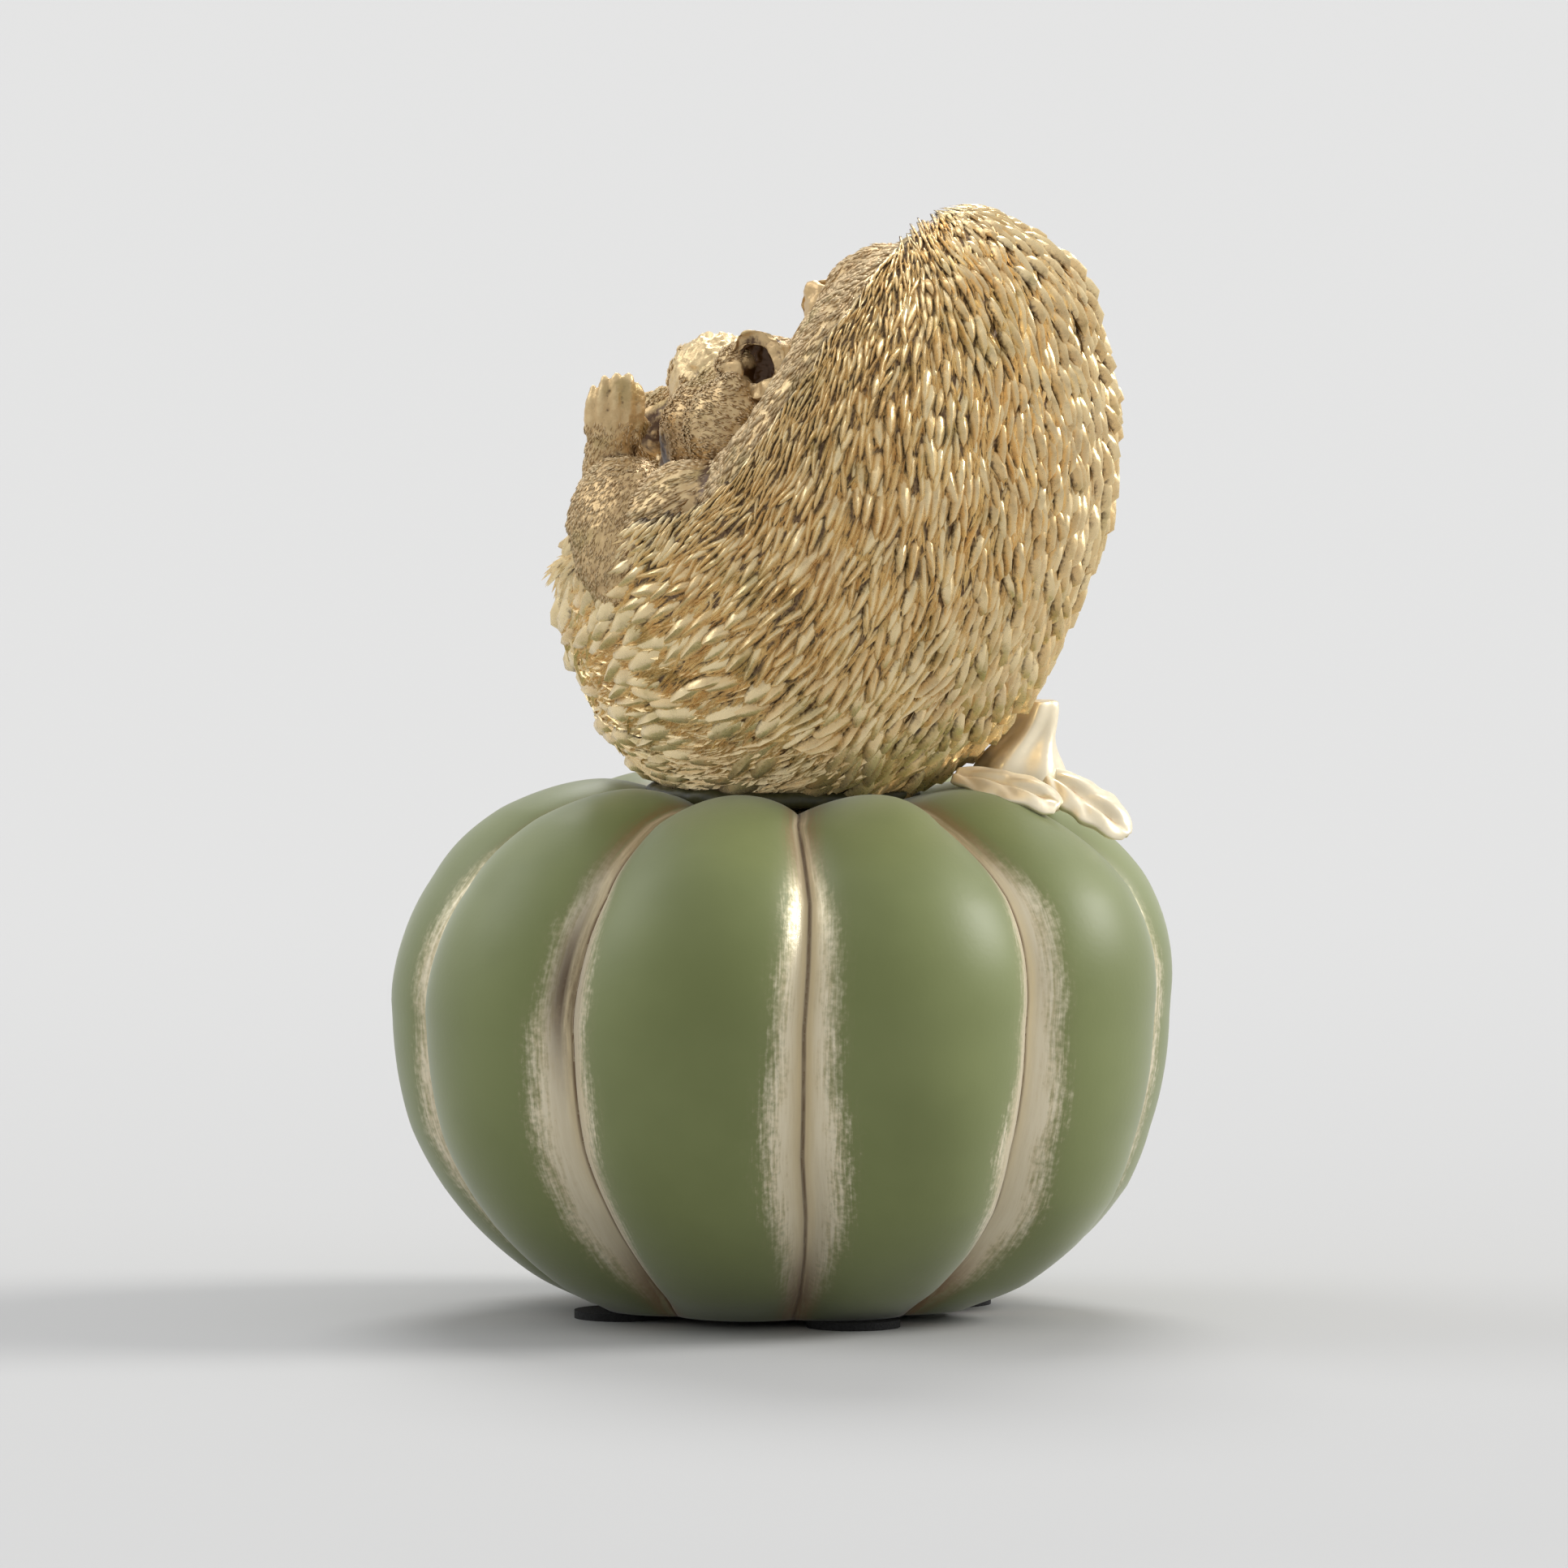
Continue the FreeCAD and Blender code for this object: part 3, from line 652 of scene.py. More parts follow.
def plant(name, template, bend, roots, normals, ways, lengths, widths, lifts, tones):
    shaped, ridge, faces = template
    ways = unit(ways - normals * np.sum(ways * normals, axis=1, keepdims=True))
    sides = np.cross(ways, normals)
    beside = shaped[:, 0] * widths[:, None]
    reach = shaped[:, 1] * lengths[:, None]
    height = shaped[:, 2] * lifts[:, None] - reach ** 2 * bend / 2
    points = (roots[:, None] + sides[:, None] * beside[:, :, None] + ways[:, None] * reach[:, :, None]
              + normals[:, None] * height[:, :, None])
    size = len(shaped)
    starts = range(0, len(roots) * size, size)
    table = [tuple(corner + start for corner in face) for start in starts for face in faces]
    mesh = bpy.data.meshes.new(name)
    mesh.from_pydata(points.reshape(-1, 3).tolist(), [], table)
    mesh.update()
    thing = bpy.data.objects.new(name, mesh)
    bpy.context.scene.collection.objects.link(thing)
    goldTraits(thing, np.tile(ridge, len(roots)), np.repeat(tones, size))
    turnOutward(thing)
    return thing


print("body forms")
coat = {
    "long": 39.0, "wide": 30.4, "shrink": 1.0, "seatHeight": 57.7, "spinesFrom": 58.6,
    # where the coat ends on the fur side: height and place ahead, as shares
    "edge": [(0.995, 0.07), (0.94, 0.07), (0.87, 0.07), (0.77, 0.08), (0.66, 0.07), (0.55, 0.08), (0.38, 0.08),
             (0.08, 0.13), (-0.13, 0.28), (-0.28, 0.50), (-0.49, 0.82), (-0.84, 1.34)],
    # where it is fuller than an egg: place, way, mm, reach
    "bulges": [((-11, 0, 37), (-0.84, -0.34, 0.41), 2.7, 7.0), ((7, 0, 32), (-0.84, -0.34, 0.41), 1.8, 6.0),
               ((21, 10, -25), (0.84, 0.34, -0.41), 1.3, 7.0), ((-31, 0, -8), (-0.94, -0.27, -0.21), 1.2, 5.0),
               ((10, 6, -36), (0.84, 0.34, -0.41), 1.0, 8.0), ((-29, -6, 2), (0.94, 0.27, 0.21), 0.8, 9.0)],
    # the way the spines lie: degrees from straight down, and degrees per mm
    "flow": {"start": 10.0, "perForward": 1.0, "perUp": -1.3, "most": 42.0, "least": -30.0},
}
coatSize = np.array((coat["wide"], coat["wide"], coat["long"]))
coatEdge = np.array(coat["edge"]) * (coat["long"], coat["wide"])


def addEgg(place, way, long, wide):
    bpy.ops.mesh.primitive_uv_sphere_add(segments=40, ring_count=24, radius=1)
    egg = bpy.context.object
    turn = Vector(way).to_track_quat("Z", "Y").to_matrix().to_4x4()
    egg.data.transform(Matrix.Translation(Vector(place)) @ turn @ Matrix.Diagonal((wide, wide, long, 1)))
    return egg


def moulded(name, eggs, voxel, rounds):
    form = joinAll([addEgg(*egg) for egg in eggs], name)
    skin = form.modifiers.new("oneSkin", "REMESH")
    skin.mode = "VOXEL"
    skin.voxel_size = voxel
    soften = form.modifiers.new("soften", "SMOOTH")
    soften.factor = 0.6
    soften.iterations = rounds
    applyAll(form)
    return form


def hollows(form, rounds):   # how deep each point lies in a crease, in mm
    points, normals = readPoints(form), readNormals(form)
    edges = np.empty(len(form.data.edges) * 2, dtype=int)
    form.data.edges.foreach_get("vertices", edges)
    first, second = edges.reshape(-1, 2).T
    links = np.bincount(edges, minlength=len(points))[:, None]
    average = points
    for step in range(rounds):
        total = np.zeros_like(points)
        np.add.at(total, first, average[second])
        np.add.at(total, second, average[first])
        average = total / links
    return np.sum((average - points) * normals, axis=1)


skin = {
    # painted shade in the dark gaps and at the ear's root, and the closed eyes as dark paint: place, reach
    "deep": [((19.9, 10.0, -3.6), 5.0), ((19.9, -10.0, -3.6), 5.0), ((17.0, 5.0, -3.5), 5.0),
             ((17.0, -5.0, -3.5), 5.0), ((22.6, 4.9, -2.2), 5.2), ((22.6, -4.9, -2.2), 5.2),
             ((22.9, 4.3, 1.7), 1.5), ((23.2, -3.8, 2.3), 1.5), ((11.2, 14.6, 12.4), 3.6)],
    # nose and brow knobs, with no fur
    "bare": [((28.3, -0.9, -4.7), 2.4), ((21.9, 5.4, 3.5), 1.9), ((22.3, -4.8, 4.1), 1.9)],
    # painted highlight on the brow: place, reach
    "paintedHighlight": [((19.0, 2.5, 7.5), 7.0)],
    "creaseRounds": 7, "creaseDark": 2.6,
}


def skinTraits(form):
    points = readPoints(form)
    # painted shade: darker in the creases
    height = 0.60 - skin["creaseDark"] * hollows(form, skin["creaseRounds"])
    # painted shade at the deep places, and dark paint for the eyes
    for place, size in skin["deep"]:
        height -= 0.6 * smoothStep(size, size * 0.4, farFrom(points, place))
    # painted highlight: the brow is made lighter in ridge and tone
    paintedHighlight = np.zeros(len(points))
    for place, size in skin["paintedHighlight"]:
        paintedHighlight += smoothStep(size, size * 0.6, farFrom(points, place))
    goldTraits(form, np.clip(height + 0.45 * paintedHighlight, 0, 1), np.clip(0.45 + paintedHighlight, 0, 1))


def flowWays(points):
    flow = coat["flow"]
    angle = flow["start"] + flow["perForward"] * points[:, 0] + flow["perUp"] * points[:, 2]
    middle = (flow["most"] + flow["least"]) / 2
    reach = (flow["most"] - flow["least"]) / 2
    angle = np.radians(middle + reach * np.tanh((angle - middle) / reach))
    return np.column_stack([np.sin(angle), np.zeros(len(points)), -np.cos(angle)])


def fullerCoat(points):
    moved = points.copy()
    for place, way, amount, reach in coat["bulges"]:
        moved += np.outer(amount * np.exp(-np.sum((points - place) ** 2, axis=1) / reach ** 2), way)
    return moved


def edgeAt(heights):   # how far ahead the coat reaches at each height
    order = np.argsort(coatEdge[:, 0])
    return np.interp(heights, coatEdge[order, 0], coatEdge[order, 1])


def edgeGaps(points):   # mm behind the coat's edge, negative on the fur side
    gaps = np.full(len(points), 1e9)
    flat = points[:, [2, 0]]
    for start, end in zip(coatEdge, coatEdge[1:]):
        run = end - start
        share = np.clip(((flat - start) @ run) / (run @ run), 0, 1)
        gaps = np.minimum(gaps, np.linalg.norm(flat - start - share[:, None] * run, axis=1))
    return np.where(flat[:, 1] < edgeAt(flat[:, 0]), gaps, -gaps)


def rumpShare(points):
    return smoothStep(-4, -25, points[:, 2] - 0.45 * points[:, 0])


# the coat's own body: an egg, cut back to the edge of the fur side and to the seat
bpy.ops.mesh.primitive_uv_sphere_add(segments=96, ring_count=64, radius=1)
coatBody = takeNew("coatBody")
points = readPoints(coatBody) * (coatSize - coat["shrink"])
points[:, 0] = np.minimum(points[:, 0], edgeAt(points[:, 2]))
points = fullerCoat(points)
points += np.outer(np.maximum(coat["seatHeight"] - heightOf(points), 0), tableUp)
writePoints(coatBody, points)
# painted shade: the coat's body shows only between the spines and is painted dark
goldTraits(coatBody, 0.20, 0.3)


def ball(x, y, z, radius):
    return (x, y, z), (0, 0, 1), radius, radius


def footEggs(side):   # sole, ball, heel, thigh and five toes
    upward = (0.44, 0, 0.9)
    eggs = [((23.8, 12.4, -5.0), (0.3, 0.1, 1.0), 9.2, 2.9), ((24.4, 12.8, -1.6), (-0.84, -0.34, 0.41), 3.6, 1.9),
            ((21.5, 13.0, -12.0), upward, 3.2, 3.2), ((15.2, 16.7, -11.7), (7, -3.6, 5.1), 10.8, 7.5)]
    for toe in ((27.2, 14.0, -1.6), (26.3, 14.5, 0.1), (25.2, 14.5, 1.2), (24.0, 14.0, 1.5), (22.8, 13.1, 0.8)):
        eggs.append((toe, upward, 3.6, 0.98))
    return [((x, y * side, z), (wayX, wayY * side, wayZ), long, wide)
            for (x, y, z), (wayX, wayY, wayZ), long, wide in eggs]


def pawEggs(wrist, long, wide, finger, spacing, fingerLong, fingerWide):   # a paw and its three fingers
    x, y, z = finger
    fingers = [((x, y + k * spacing, z - abs(k) * 0.4), (1, 0.15 * k, 0.8), fingerLong, fingerWide)
               for k in (-1, 0, 1)]
    return [(wrist, (1, 0, 1), long, wide)] + fingers


fronts = {
    # name: eggs (place, way, half length, half width), voxel size, smoothing rounds, CAD nodes
    "furryFront": ([((2.4, 0, 3.9), (1, 0, 0), 10.6, 28.7), ((6.1, 0, -9.0), (0, 1, 0), 24.3, 12.4),
                    ((9.5, 17.5, -9.5), (0, 0, 1), 11.0, 8.6), ((9.5, -17.5, -9.5), (0, 0, 1), 11.0, 8.6),
                    ((7.3, -2.0, 20.5), (0, 0, 1), 9.0, 6.0), ((17.0, 0, -15.0), (0, 1, 0), 16.0, 7.0),
                    ((16.5, 0, -4.0), (0, 1, 0), 9.0, 5.0)],
                   0.7, 14, ["furry_front"]),
    "headForm": ([((12.8, 0.6, 4.8), (0, 1, 0), 12.2, 9.1), ball(19.0, 2.0, 6.1, 5.6), ball(14.0, 6.4, 1.9, 7.6),
                  ball(14.9, -6.1, 3.9, 7.6), ball(12.6, 11.2, 8.4, 3.7), ball(11.6, 13.6, 4.9, 5.7),
                  ball(14.4, 12.6, 11.4, 2.6), ball(12.4, 15.4, 8.9, 2.4),
                  ((20.8, -0.6, -0.8), (7, -0.3, -3.9), 8.6, 4.6), ball(27.6, -0.9, -4.6, 1.7),
                  ((21.2, 4.5, 3.2), (0, 1, 0.4), 2.2, 1.5), ((21.6, -3.9, 3.8), (0, 1, -0.4), 2.2, 1.5)],
                 0.42, 2, ["head"]),
    "leftHindFootForm": (footEggs(1), 0.25, 2, ["left_hind_foot"]),
    "rightHindFootForm": (footEggs(-1), 0.25, 2, ["right_hind_foot"]),
    "leftFrontPawForm": (pawEggs((16.4, 3.2, -9.2), 5.6, 2.6, (19.9, 3.2, -5.6), 1.2, 1.9, 0.75),
                         0.35, 2, ["left_front_paw"]),
    "rightFrontPawForm": (pawEggs((18.2, -4.1, -7.8), 5.9, 2.8, (21.9, -4.1, -3.9), 1.3, 2.0, 0.8),
                          0.35, 2, ["right_front_paw"]),
    "tailForm": ([((23.1, 0, -15.2), (1, 0, -0.35), 5.4, 2.7)], 0.4, 2, ["tail"]),
}
forms = {name: moulded(name, *values[:3]) for name, values in fronts.items()}
earDip = {"place": (11.0, 17.0, 11.5), "reach": 7.5, "depth": 2.4}
points = readPoints(forms["furryFront"])
for side in (1, -1):
    x, y, z = earDip["place"]
    near = np.exp(-np.sum((points - (x, y * side, z)) ** 2, axis=1) / earDip["reach"] ** 2)
    points[:, 0] -= earDip["depth"] * near
writePoints(forms["furryFront"], points)


def roughen(form, amount, perMm):
    points, normals = readPoints(form), readNormals(form)
    push = np.array([noise.noise(Vector(point) * perMm) + 0.5 * noise.noise(Vector(point) * perMm * 2.3)
                     for point in points])
    writePoints(form, points + normals * (amount * push)[:, None])


ear = {"cut": 0.18, "wall": 1.75, "rim": 0.5, "uneven": [(1.0, 0.26), (0.22, 0.9)]}   # mm, and waves per mm
earTable = {
    # name: place, way it opens, width, depth, CAD node
    "leftEarCup": ((11.3, 15.5, 13.2), (0.30, 0.88, 0.06), 4.3, 4.1, "left_ear"),
    "rightEarCup": ((12.9, -10.5, 17.9), (0.5, -0.8, 0.35), 4.6, 4.1, "right_ear"),
}


def earCup(name, place, way, wide, deep):
    bpy.ops.mesh.primitive_uv_sphere_add(segments=40, ring_count=24, radius=1)
    cup = takeNew(name)
    intoEdit("SELECT")
    bpy.ops.mesh.bisect(plane_co=(0, 0, ear["cut"]), plane_no=(0, 0, 1), clear_outer=True)
    outOfEdit()
    points = readPoints(cup)
    lip = smoothStep(-0.3, 0.2, points[:, 2])
    points[:, 0] *= 1 + 0.04 * lip
    points[:, 1] *= 1 - 0.10 * lip
    turn = np.array(Vector(way).to_track_quat("Z", "Y").to_matrix())
    writePoints(cup, (points * (wide, wide, deep)) @ turn.T + place)
    thicken(cup, ear["wall"], True)
    rim = cup.modifiers.new("rim", "BEVEL")
    rim.width = ear["rim"]
    rim.segments = 3
    divide(cup, 1)
    applyAll(cup)
    for amount, perMm in ear["uneven"]:
        roughen(cup, amount, perMm)
    points = readPoints(cup)
    depth = (points - place) @ np.array(Vector(way).normalized())
    # painted shade: the inside of the cup is painted dark
    dark = smoothStep(wide * 0.92, wide * 0.76, farFrom(points, place)) * smoothStep(0.9, -0.8, depth)
    goldTraits(cup, np.clip(0.66 - dark, 0, 1), 0.5)
    return cup


ears = [(earCup(name, *values), node) for name, (*values, node) in earTable.items()]

print("spines")
spines = {
    "tries": 110000, "curve": 31.0, "sharp": 48, "cell": 3.2, "spread": (0.66, 0.10), "overlap": 0.36,
    # in mm: at the edge and more behind it on the back, then the same on the rump
    "width": (0.46, 1.12, 1.1, 1.9), "length": (3.2, 3.4, 5.0, 3.4), "lift": (0.50, 0.88, 0.95, 0.45),
}


def spineSize(key, grow, low):
    edge, more, rumpEdge, rumpMore = spines[key]
    return (edge + more * grow) * (1 - low) + (rumpEdge + rumpMore * grow) * low


def hasRoom(spot, way, side, along, across, others):
    for other in others:
        gx, gy, gz = other[0] - spot[0], other[1] - spot[1], other[2] - spot[2]
        ahead = (gx * way[0] + gy * way[1] + gz * way[2]) / along
        beside = (gx * side[0] + gy * side[1] + gz * side[2]) / across
        if ahead * ahead + beside * beside < 1:
            return False
    return True


def coatSpots():
    size = coatSize - coat["shrink"]
    spots = unit(dice.normal(size=(spines["tries"], 3))) * size
    normals = unit(spots / size ** 2)
    gaps = edgeGaps(spots)
    low = rumpShare(spots)
    grow = smoothStep(0, 13, gaps) * (1 - low) + smoothStep(-1, 6, gaps) * low
    width, length = spineSize("width", grow, low), spineSize("length", grow, low)
    wanted = (gaps > -0.2 - 1.2 * low) & (heightOf(spots) > coat["spinesFrom"])
    across = (spines["spread"][0] - spines["spread"][1] * low) * width
    along = spines["overlap"] * length
    ways = flowWays(spots)
    ways = unit(ways - normals * np.sum(ways * normals, axis=1, keepdims=True))
    sides = np.cross(ways, normals)
    steps = [(x, y, z) for x in (-1, 0, 1) for y in (-1, 0, 1) for z in (-1, 0, 1)]
    cells = {}
    kept = []
    for number in np.nonzero(wanted)[0]:
        spot = spots[number]
        x, y, z = (int(value // spines["cell"]) for value in spot)
        others = [other for dx, dy, dz in steps for other in cells.get((x + dx, y + dy, z + dz), ())]
        if hasRoom(spot, ways[number], sides[number], along[number], across[number], others):
            cells.setdefault((x, y, z), []).append(spot)
            kept.append(number)
    return [values[kept] for values in (spots, normals, ways, sides, length, width, low, grow)]


spots, normals, ways, sides, length, width, low, grow = coatSpots()
count = len(spots)
print("spines on the coat:", count)
drift = np.array([noise.noise(Vector(spot) * 0.16) for spot in spots])
swing = dice.normal(size=count) * 0.13 + drift * (0.45 + 0.35 * low)
ways = unit(ways + sides * swing[:, None])
length = length * np.exp(0.20 * dice.normal(size=count).clip(-1.8, 1.5))
width = width * np.exp(0.22 * dice.normal(size=count).clip(-1.8, 1.5))
lift = spineSize("lift", grow, low) * np.exp(0.30 * dice.normal(size=count).clip(-1.8, 1.0))
tone = np.clip(dice.random(count) * 0.9 + 0.35 * low, 0, 1)
roots = fullerCoat(spots) - ways * (length * 0.5)[:, None]
roots = roots - normals * (length ** 2 / 8 / spines["curve"])[:, None]
left, high = spots[:, 1] >= 0, spots[:, 2] > -2
for name, chosen in (("leftBackSpines", left & high), ("rightBackSpines", ~left & high),
                     ("leftRumpSpines", left & ~high), ("rightRumpSpines", ~left & ~high)):
    values = [column[chosen] for column in (roots, normals, ways, length, width, lift, tone)]
    part = plant(name, oneSpine, 1 / spines["curve"], *values)
    toRow(part)
    finish(part, spineGold, angle=spines["sharp"])

print("fur")
furs = {
    # name: strokes, their length, width and lift in mm
    "leftUnderSpines": (20000, 3.4, 0.62, 0.52), "rightUnderSpines": (20000, 3.4, 0.62, 0.52),
    "frontFur": (28000, 1.3, 0.24, 0.24), "headFur": (14000, 0.95, 0.24, 0.24), "tailFur": (700, 1.4, 0.4, 0.4),
    "leftHindFootFur": (7500, 1.0, 0.24, 0.22), "rightHindFootFur": (7500, 1.0, 0.24, 0.22),
}
underCoat = {"stray": 0.2, "curve": 31.0, "angle": 40, "paint": spineGold}   # fine spines between the large ones
# the knobbly bare skin above the near eye
brow = {"middle": (19.0, 2.5, 7.5), "bare": 5.6, "knobbly": (7.0, 4.0), "perMm": 0.95, "push": 1.1, "level": 0.2}


def furOn(form, name, wayOf, keep=None, stray=0.12, curve=14.0, angle=180, paint=furGold):
    count, long, wide, lift = furs[name]
    mesh = form.data
    mesh.calc_loop_triangles()
    corners = np.empty(len(mesh.loop_triangles) * 3, dtype=int)
    mesh.loop_triangles.foreach_get("vertices", corners)
    corners = corners.reshape(-1, 3)
    points, normals = readPoints(form), readNormals(form)
    # the order of a sphere's faces changes from run to run, so they are put in order of place
    corners = corners[np.lexsort(np.round(points[corners].sum(axis=1), 6).T)]
    a, b, c = points[corners[:, 0]], points[corners[:, 1]], points[corners[:, 2]]
    areas = np.linalg.norm(np.cross(b - a, c - a), axis=1)
    chosen = dice.choice(len(corners), size=count, p=areas / areas.sum())
    s, t = dice.random(count), dice.random(count)
    flip = s + t > 1
    s, t = np.where(flip, 1 - s, s)[:, None], np.where(flip, 1 - t, t)[:, None]
    spots = a[chosen] * (1 - s - t) + b[chosen] * s + c[chosen] * t
    first, second, third = (normals[corners[chosen, k]] for k in range(3))
    up = unit(first * (1 - s - t) + second * s + third * t)
    ways, size = wayOf(spots)
    if keep is not None:
        kept = keep(spots)
        spots, up, ways, size = spots[kept], up[kept], ways[kept], size[kept]
    count = len(spots)
    ways = ways + dice.normal(size=(count, 3)) * stray
    spread = 1 + 0.22 * dice.normal(size=count).clip(-1.5, 1.5)
    strokes = plant(name, oneHair, 1 / curve, spots, up, ways, long * size * spread, wide * size * spread,
                    lift * size * spread, dice.random(count))
    toRow(strokes)
    finish(strokes, paint, angle=angle)


def awayFrom(centres):
    def ways(spots):
        best = 0
        for centre, weight in centres:
            gap = spots - centre
            best = best + unit(gap) / (np.linalg.norm(gap, axis=1, keepdims=True) + 1) ** 2 * weight
        return unit(best), np.ones(len(spots))
    return ways


def frontWays(spots):
    return unit(flowWays(spots)), 0.9 + 0.5 * smoothStep(9, 0, edgeGaps(spots) * -1)


def footWays(spots):
    return unit(np.tile((-0.15, 0.0, -1.0), (len(spots), 1))), np.full(len(spots), 0.85)


def underWays(spots):
    return flowWays(spots), 0.6 + 0.4 * smoothStep(0, 13, edgeGaps(spots)) + 0.45 * rumpShare(spots)


def underKeep(side):
    def keep(spots):
        return (spots[:, 1] * side >= 0) & (edgeGaps(spots) > -0.6) & (heightOf(spots) > coat["spinesFrom"])
    return keep


def awayFromGaps(spots):
    clear = np.ones(len(spots), dtype=bool)
    for place, size in skin["deep"]:
        clear &= farFrom(spots, place) > size * 0.75
    for place, size in skin["bare"]:
        clear &= farFrom(spots, place) > size
    return clear


def frontKeep(spots):
    return awayFromGaps(spots) & (edgeGaps(spots) < 3.5) & (np.linalg.norm(spots / coatSize, axis=1) > 0.55)


def headKeep(spots):
    return awayFromGaps(spots) & (spots[:, 0] > 7.5) & (farFrom(spots, brow["middle"]) > brow["bare"])


def footKeep(spots):   # toes and upper soles stay bare
    return spots[:, 2] + 0.5 * spots[:, 0] < 11.5


for side, name in ((1, "leftUnderSpines"), (-1, "rightUnderSpines")):
    furOn(coatBody, name, underWays, underKeep(side), **underCoat)
for form in forms.values():
    roughen(form, 0.24, 0.35)
    roughen(form, 0.10, 1.5)
points = readPoints(forms["headForm"])
near = smoothStep(*brow["knobbly"], farFrom(points, brow["middle"]))
push = np.array([abs(noise.noise(Vector(point) * brow["perMm"])) for point in points])
push = brow["push"] * near * (push - brow["level"])
writePoints(forms["headForm"], points + readNormals(forms["headForm"]) * push[:, None])
furOn(forms["furryFront"], "frontFur", frontWays, frontKeep)
furOn(forms["headForm"], "headFur", awayFrom([((28.3, -0.9, -3.3), 1.0), ((22.5, 7.5, 0.0), 0.6)]), headKeep)
for name in ("leftHindFoot", "rightHindFoot"):
    furOn(forms[name + "Form"], name + "Fur", footWays, footKeep)
furOn(forms["tailForm"], "tailFur", awayFrom([((18.0, 0, -13.5), 1.0)]))

for name, form in forms.items():
    skinTraits(form)
    toRow(form)
    finish(form, skinGold, fronts[name][3])
for cup, node in ears:
    toRow(cup)
    finish(cup, skinGold, [node])
toRow(coatBody)
finish(coatBody, skinGold, ["spine_coat"])

print("stalk and leaves")
stalk = {"foot": (27.4, -1.6, 57.07), "height": 13.7, "lean": 2.2, "ribs": 5, "twist": 0.9, "cutShare": 0.72,
         "cutDrop": 0.25,
         # share of the height, radius, share of the lean, depth of the ribs
         "rings": [(0.0, 5.6, 0.0, 0.5), (0.28, 6.0, -0.15, 0.9), (0.43, 5.8, -0.1, 1.1), (0.56, 4.6, 0.0, 1.0),
                   (0.70, 3.3, 0.5, 0.8), (0.85, 2.6, 0.88, 0.4), (0.97, 2.35, 1.0, 0.35), (1.0, 2.0, 1.0, 0.25)]}
bpy.ops.mesh.primitive_circle_add(vertices=30, radius=1)
stem = takeNew("cutStalk")
intoEdit("SELECT")
bpy.ops.mesh.edge_face_add()
for step in range(len(stalk["rings"]) - 1):
    bpy.ops.mesh.extrude_region_move(TRANSFORM_OT_translate={"value": (0, 0, 1)})
bpy.ops.mesh.inset(thickness=0.2)
outOfEdit()
points = readPoints(stem)
rings = np.array(stalk["rings"])[np.round(points[:, 2]).astype(int)]
inset = np.hypot(points[:, 0], points[:, 1]) < 0.95
turn = np.arctan2(points[:, 1], points[:, 0])
twisted = turn + rings[:, 0] * stalk["twist"]
radius = rings[:, 1] + rings[:, 3] * 0.5 * (np.cos(stalk["ribs"] * turn) - 1)
radius = radius * np.where(inset, stalk["cutShare"], 1.0)
writePoints(stem, np.column_stack([
    stalk["foot"][0] + stalk["lean"] * rings[:, 2] + radius * np.cos(twisted),
    stalk["foot"][1] + radius * np.sin(twisted),
    stalk["foot"][2] + stalk["height"] * rings[:, 0] - np.where(inset, stalk["cutDrop"], 0.0),
]) * mm)
divide(stem, 2)
applyAll(stem)
# painted shade: the stalk is darker low down, where it meets the pumpkin, and lighter above
goldTraits(stem, 0.6 + 0.65 * smoothStep(0.058, 0.064, readPoints(stem)[:, 2]), 0.6)
finish(stem, paleGold, ["stalk"])

leaf = {"columns": 16, "rows": 30, "roll": 24, "wall": 1.0, "above": 0.55, "groove": 0.75, "veins": 0.5}
leafTable = {
    # name: root, tip, width, arch, outline from root to tip, node
    "frontLeafBlade": ((19.6, -8.2, 62.4), (31.8, -12.6, 59.2), 6.4, 0.9,
                       (0.50, 0.85, 1.0, 0.98, 0.90, 0.74, 0.42), "front_leaf"),
    "rearLeafBlade": ((29.8, -4.6, 62.6), (39.7, -8.4, 55.5), 7.4, 0.6,
                      (0.30, 0.74, 1.0, 1.0, 0.84, 0.60, 0.26), "rear_leaf"),
}


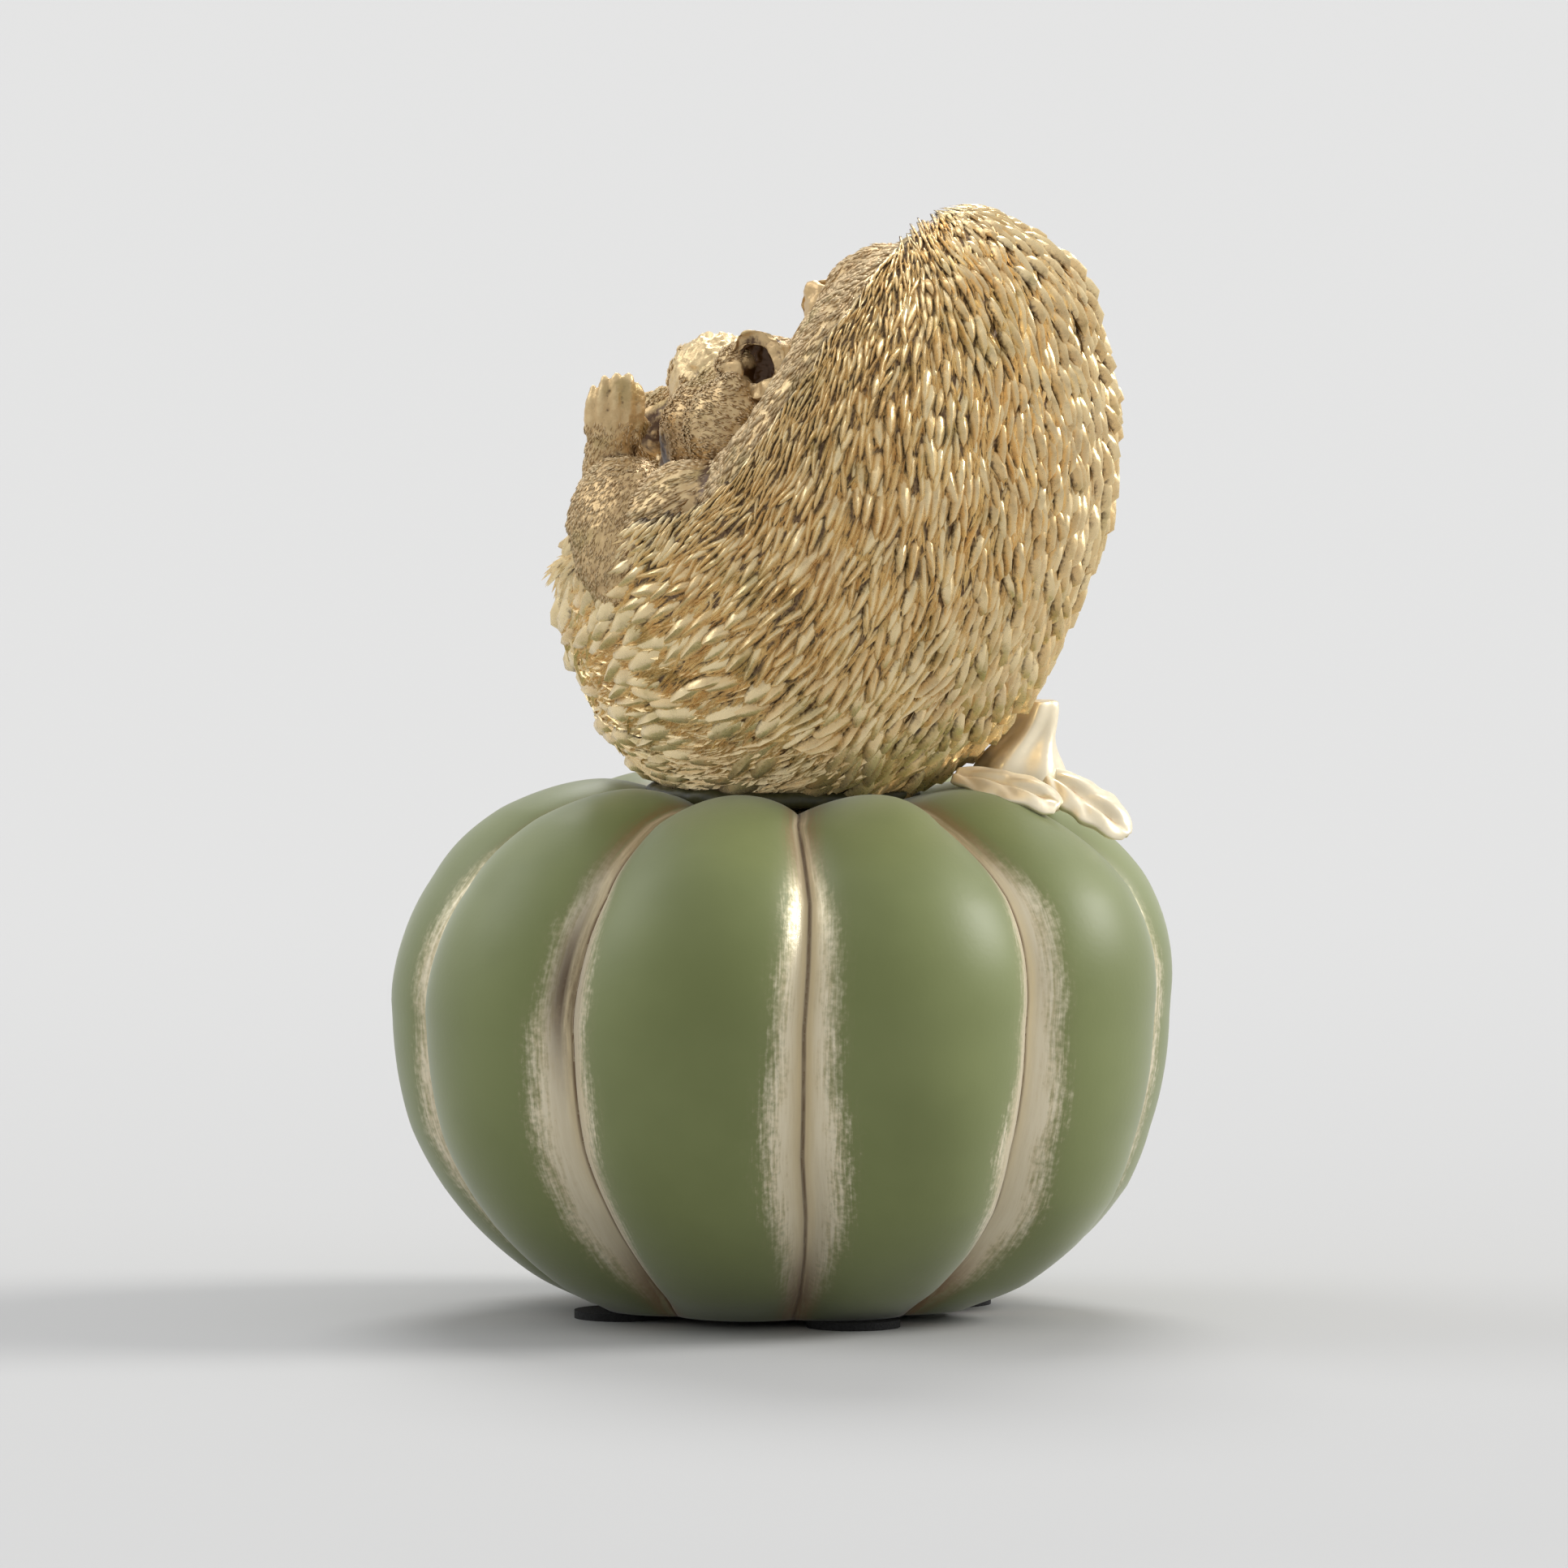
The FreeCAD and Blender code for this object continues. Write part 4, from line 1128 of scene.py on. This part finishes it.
def leafBlade(name, root, tip, width, arch, outline):
    bpy.ops.mesh.primitive_grid_add(x_subdivisions=leaf["columns"], y_subdivisions=leaf["rows"], size=1)
    blade = takeNew(name)
    points = readPoints(blade)
    across = points[:, 0] * 2
    along = points[:, 1] + 0.5
    root, tip = np.array(root), np.array(tip)
    run = tip - root
    side = unit(np.cross(run, (0, 0, 1)))
    side = np.array(Matrix.Rotation(math.radians(leaf["roll"]), 3, Vector(run))) @ side
    raised = unit(np.cross(side, run))
    half = width / 2 * np.interp(along, [0, 0.2, 0.4, 0.6, 0.8, 0.93, 1], outline)
    ripple = 1 + 0.05 * np.sin(along * 23) * np.abs(across)
    veins = np.abs(np.sin((along * 2.6 - np.abs(across) * 0.9) * math.pi)) ** 0.7
    groove = np.exp(-(across / 0.2) ** 2)
    height = (arch * np.sin(math.pi * along)
              - leaf["groove"] * groove * smoothStep(0.0, 0.15, along) * smoothStep(1.0, 0.7, along)
              + leaf["veins"] * veins * (1 - groove) * (1 - np.abs(across) ** 3) * smoothStep(1, 0.8, along)
              - 0.5 * across ** 2 + 0.25 * across ** 2 * np.sin(along * 11))
    spots = (root + along[:, None] * run + side * (across * half * ripple)[:, None]
             + raised * (height + leaf["above"])[:, None])
    writePoints(blade, spots * mm)
    # painted shade: the leaf is darker orange in its middle groove, and lighter on the veins
    goldTraits(blade, np.clip(1.25 + 0.2 * veins - groove, 0, 1.4), 0.75)
    thicken(blade, leaf["wall"] * mm)
    divide(blade, 1)
    applyAll(blade)
    turnOutward(blade)
    return blade


for name, (*values, node) in leafTable.items():
    finish(leafBlade(name, *values), paleGold, [node])

glueRing = {"radius": 14.9, "thickness": 0.95, "height": 60.1, "uneven": 0.3, "perMm": 0.5}
bpy.ops.mesh.primitive_torus_add(major_segments=180, minor_segments=14, major_radius=glueRing["radius"],
                                 minor_radius=glueRing["thickness"])
glueBead = takeNew("glueBead")
roughen(glueBead, glueRing["uneven"], glueRing["perMm"])
writePoints(glueBead, (readPoints(glueBead) + (0, 0, glueRing["height"])) * mm)
finish(glueBead, plain["darkGlue"], ["glue_bead"])
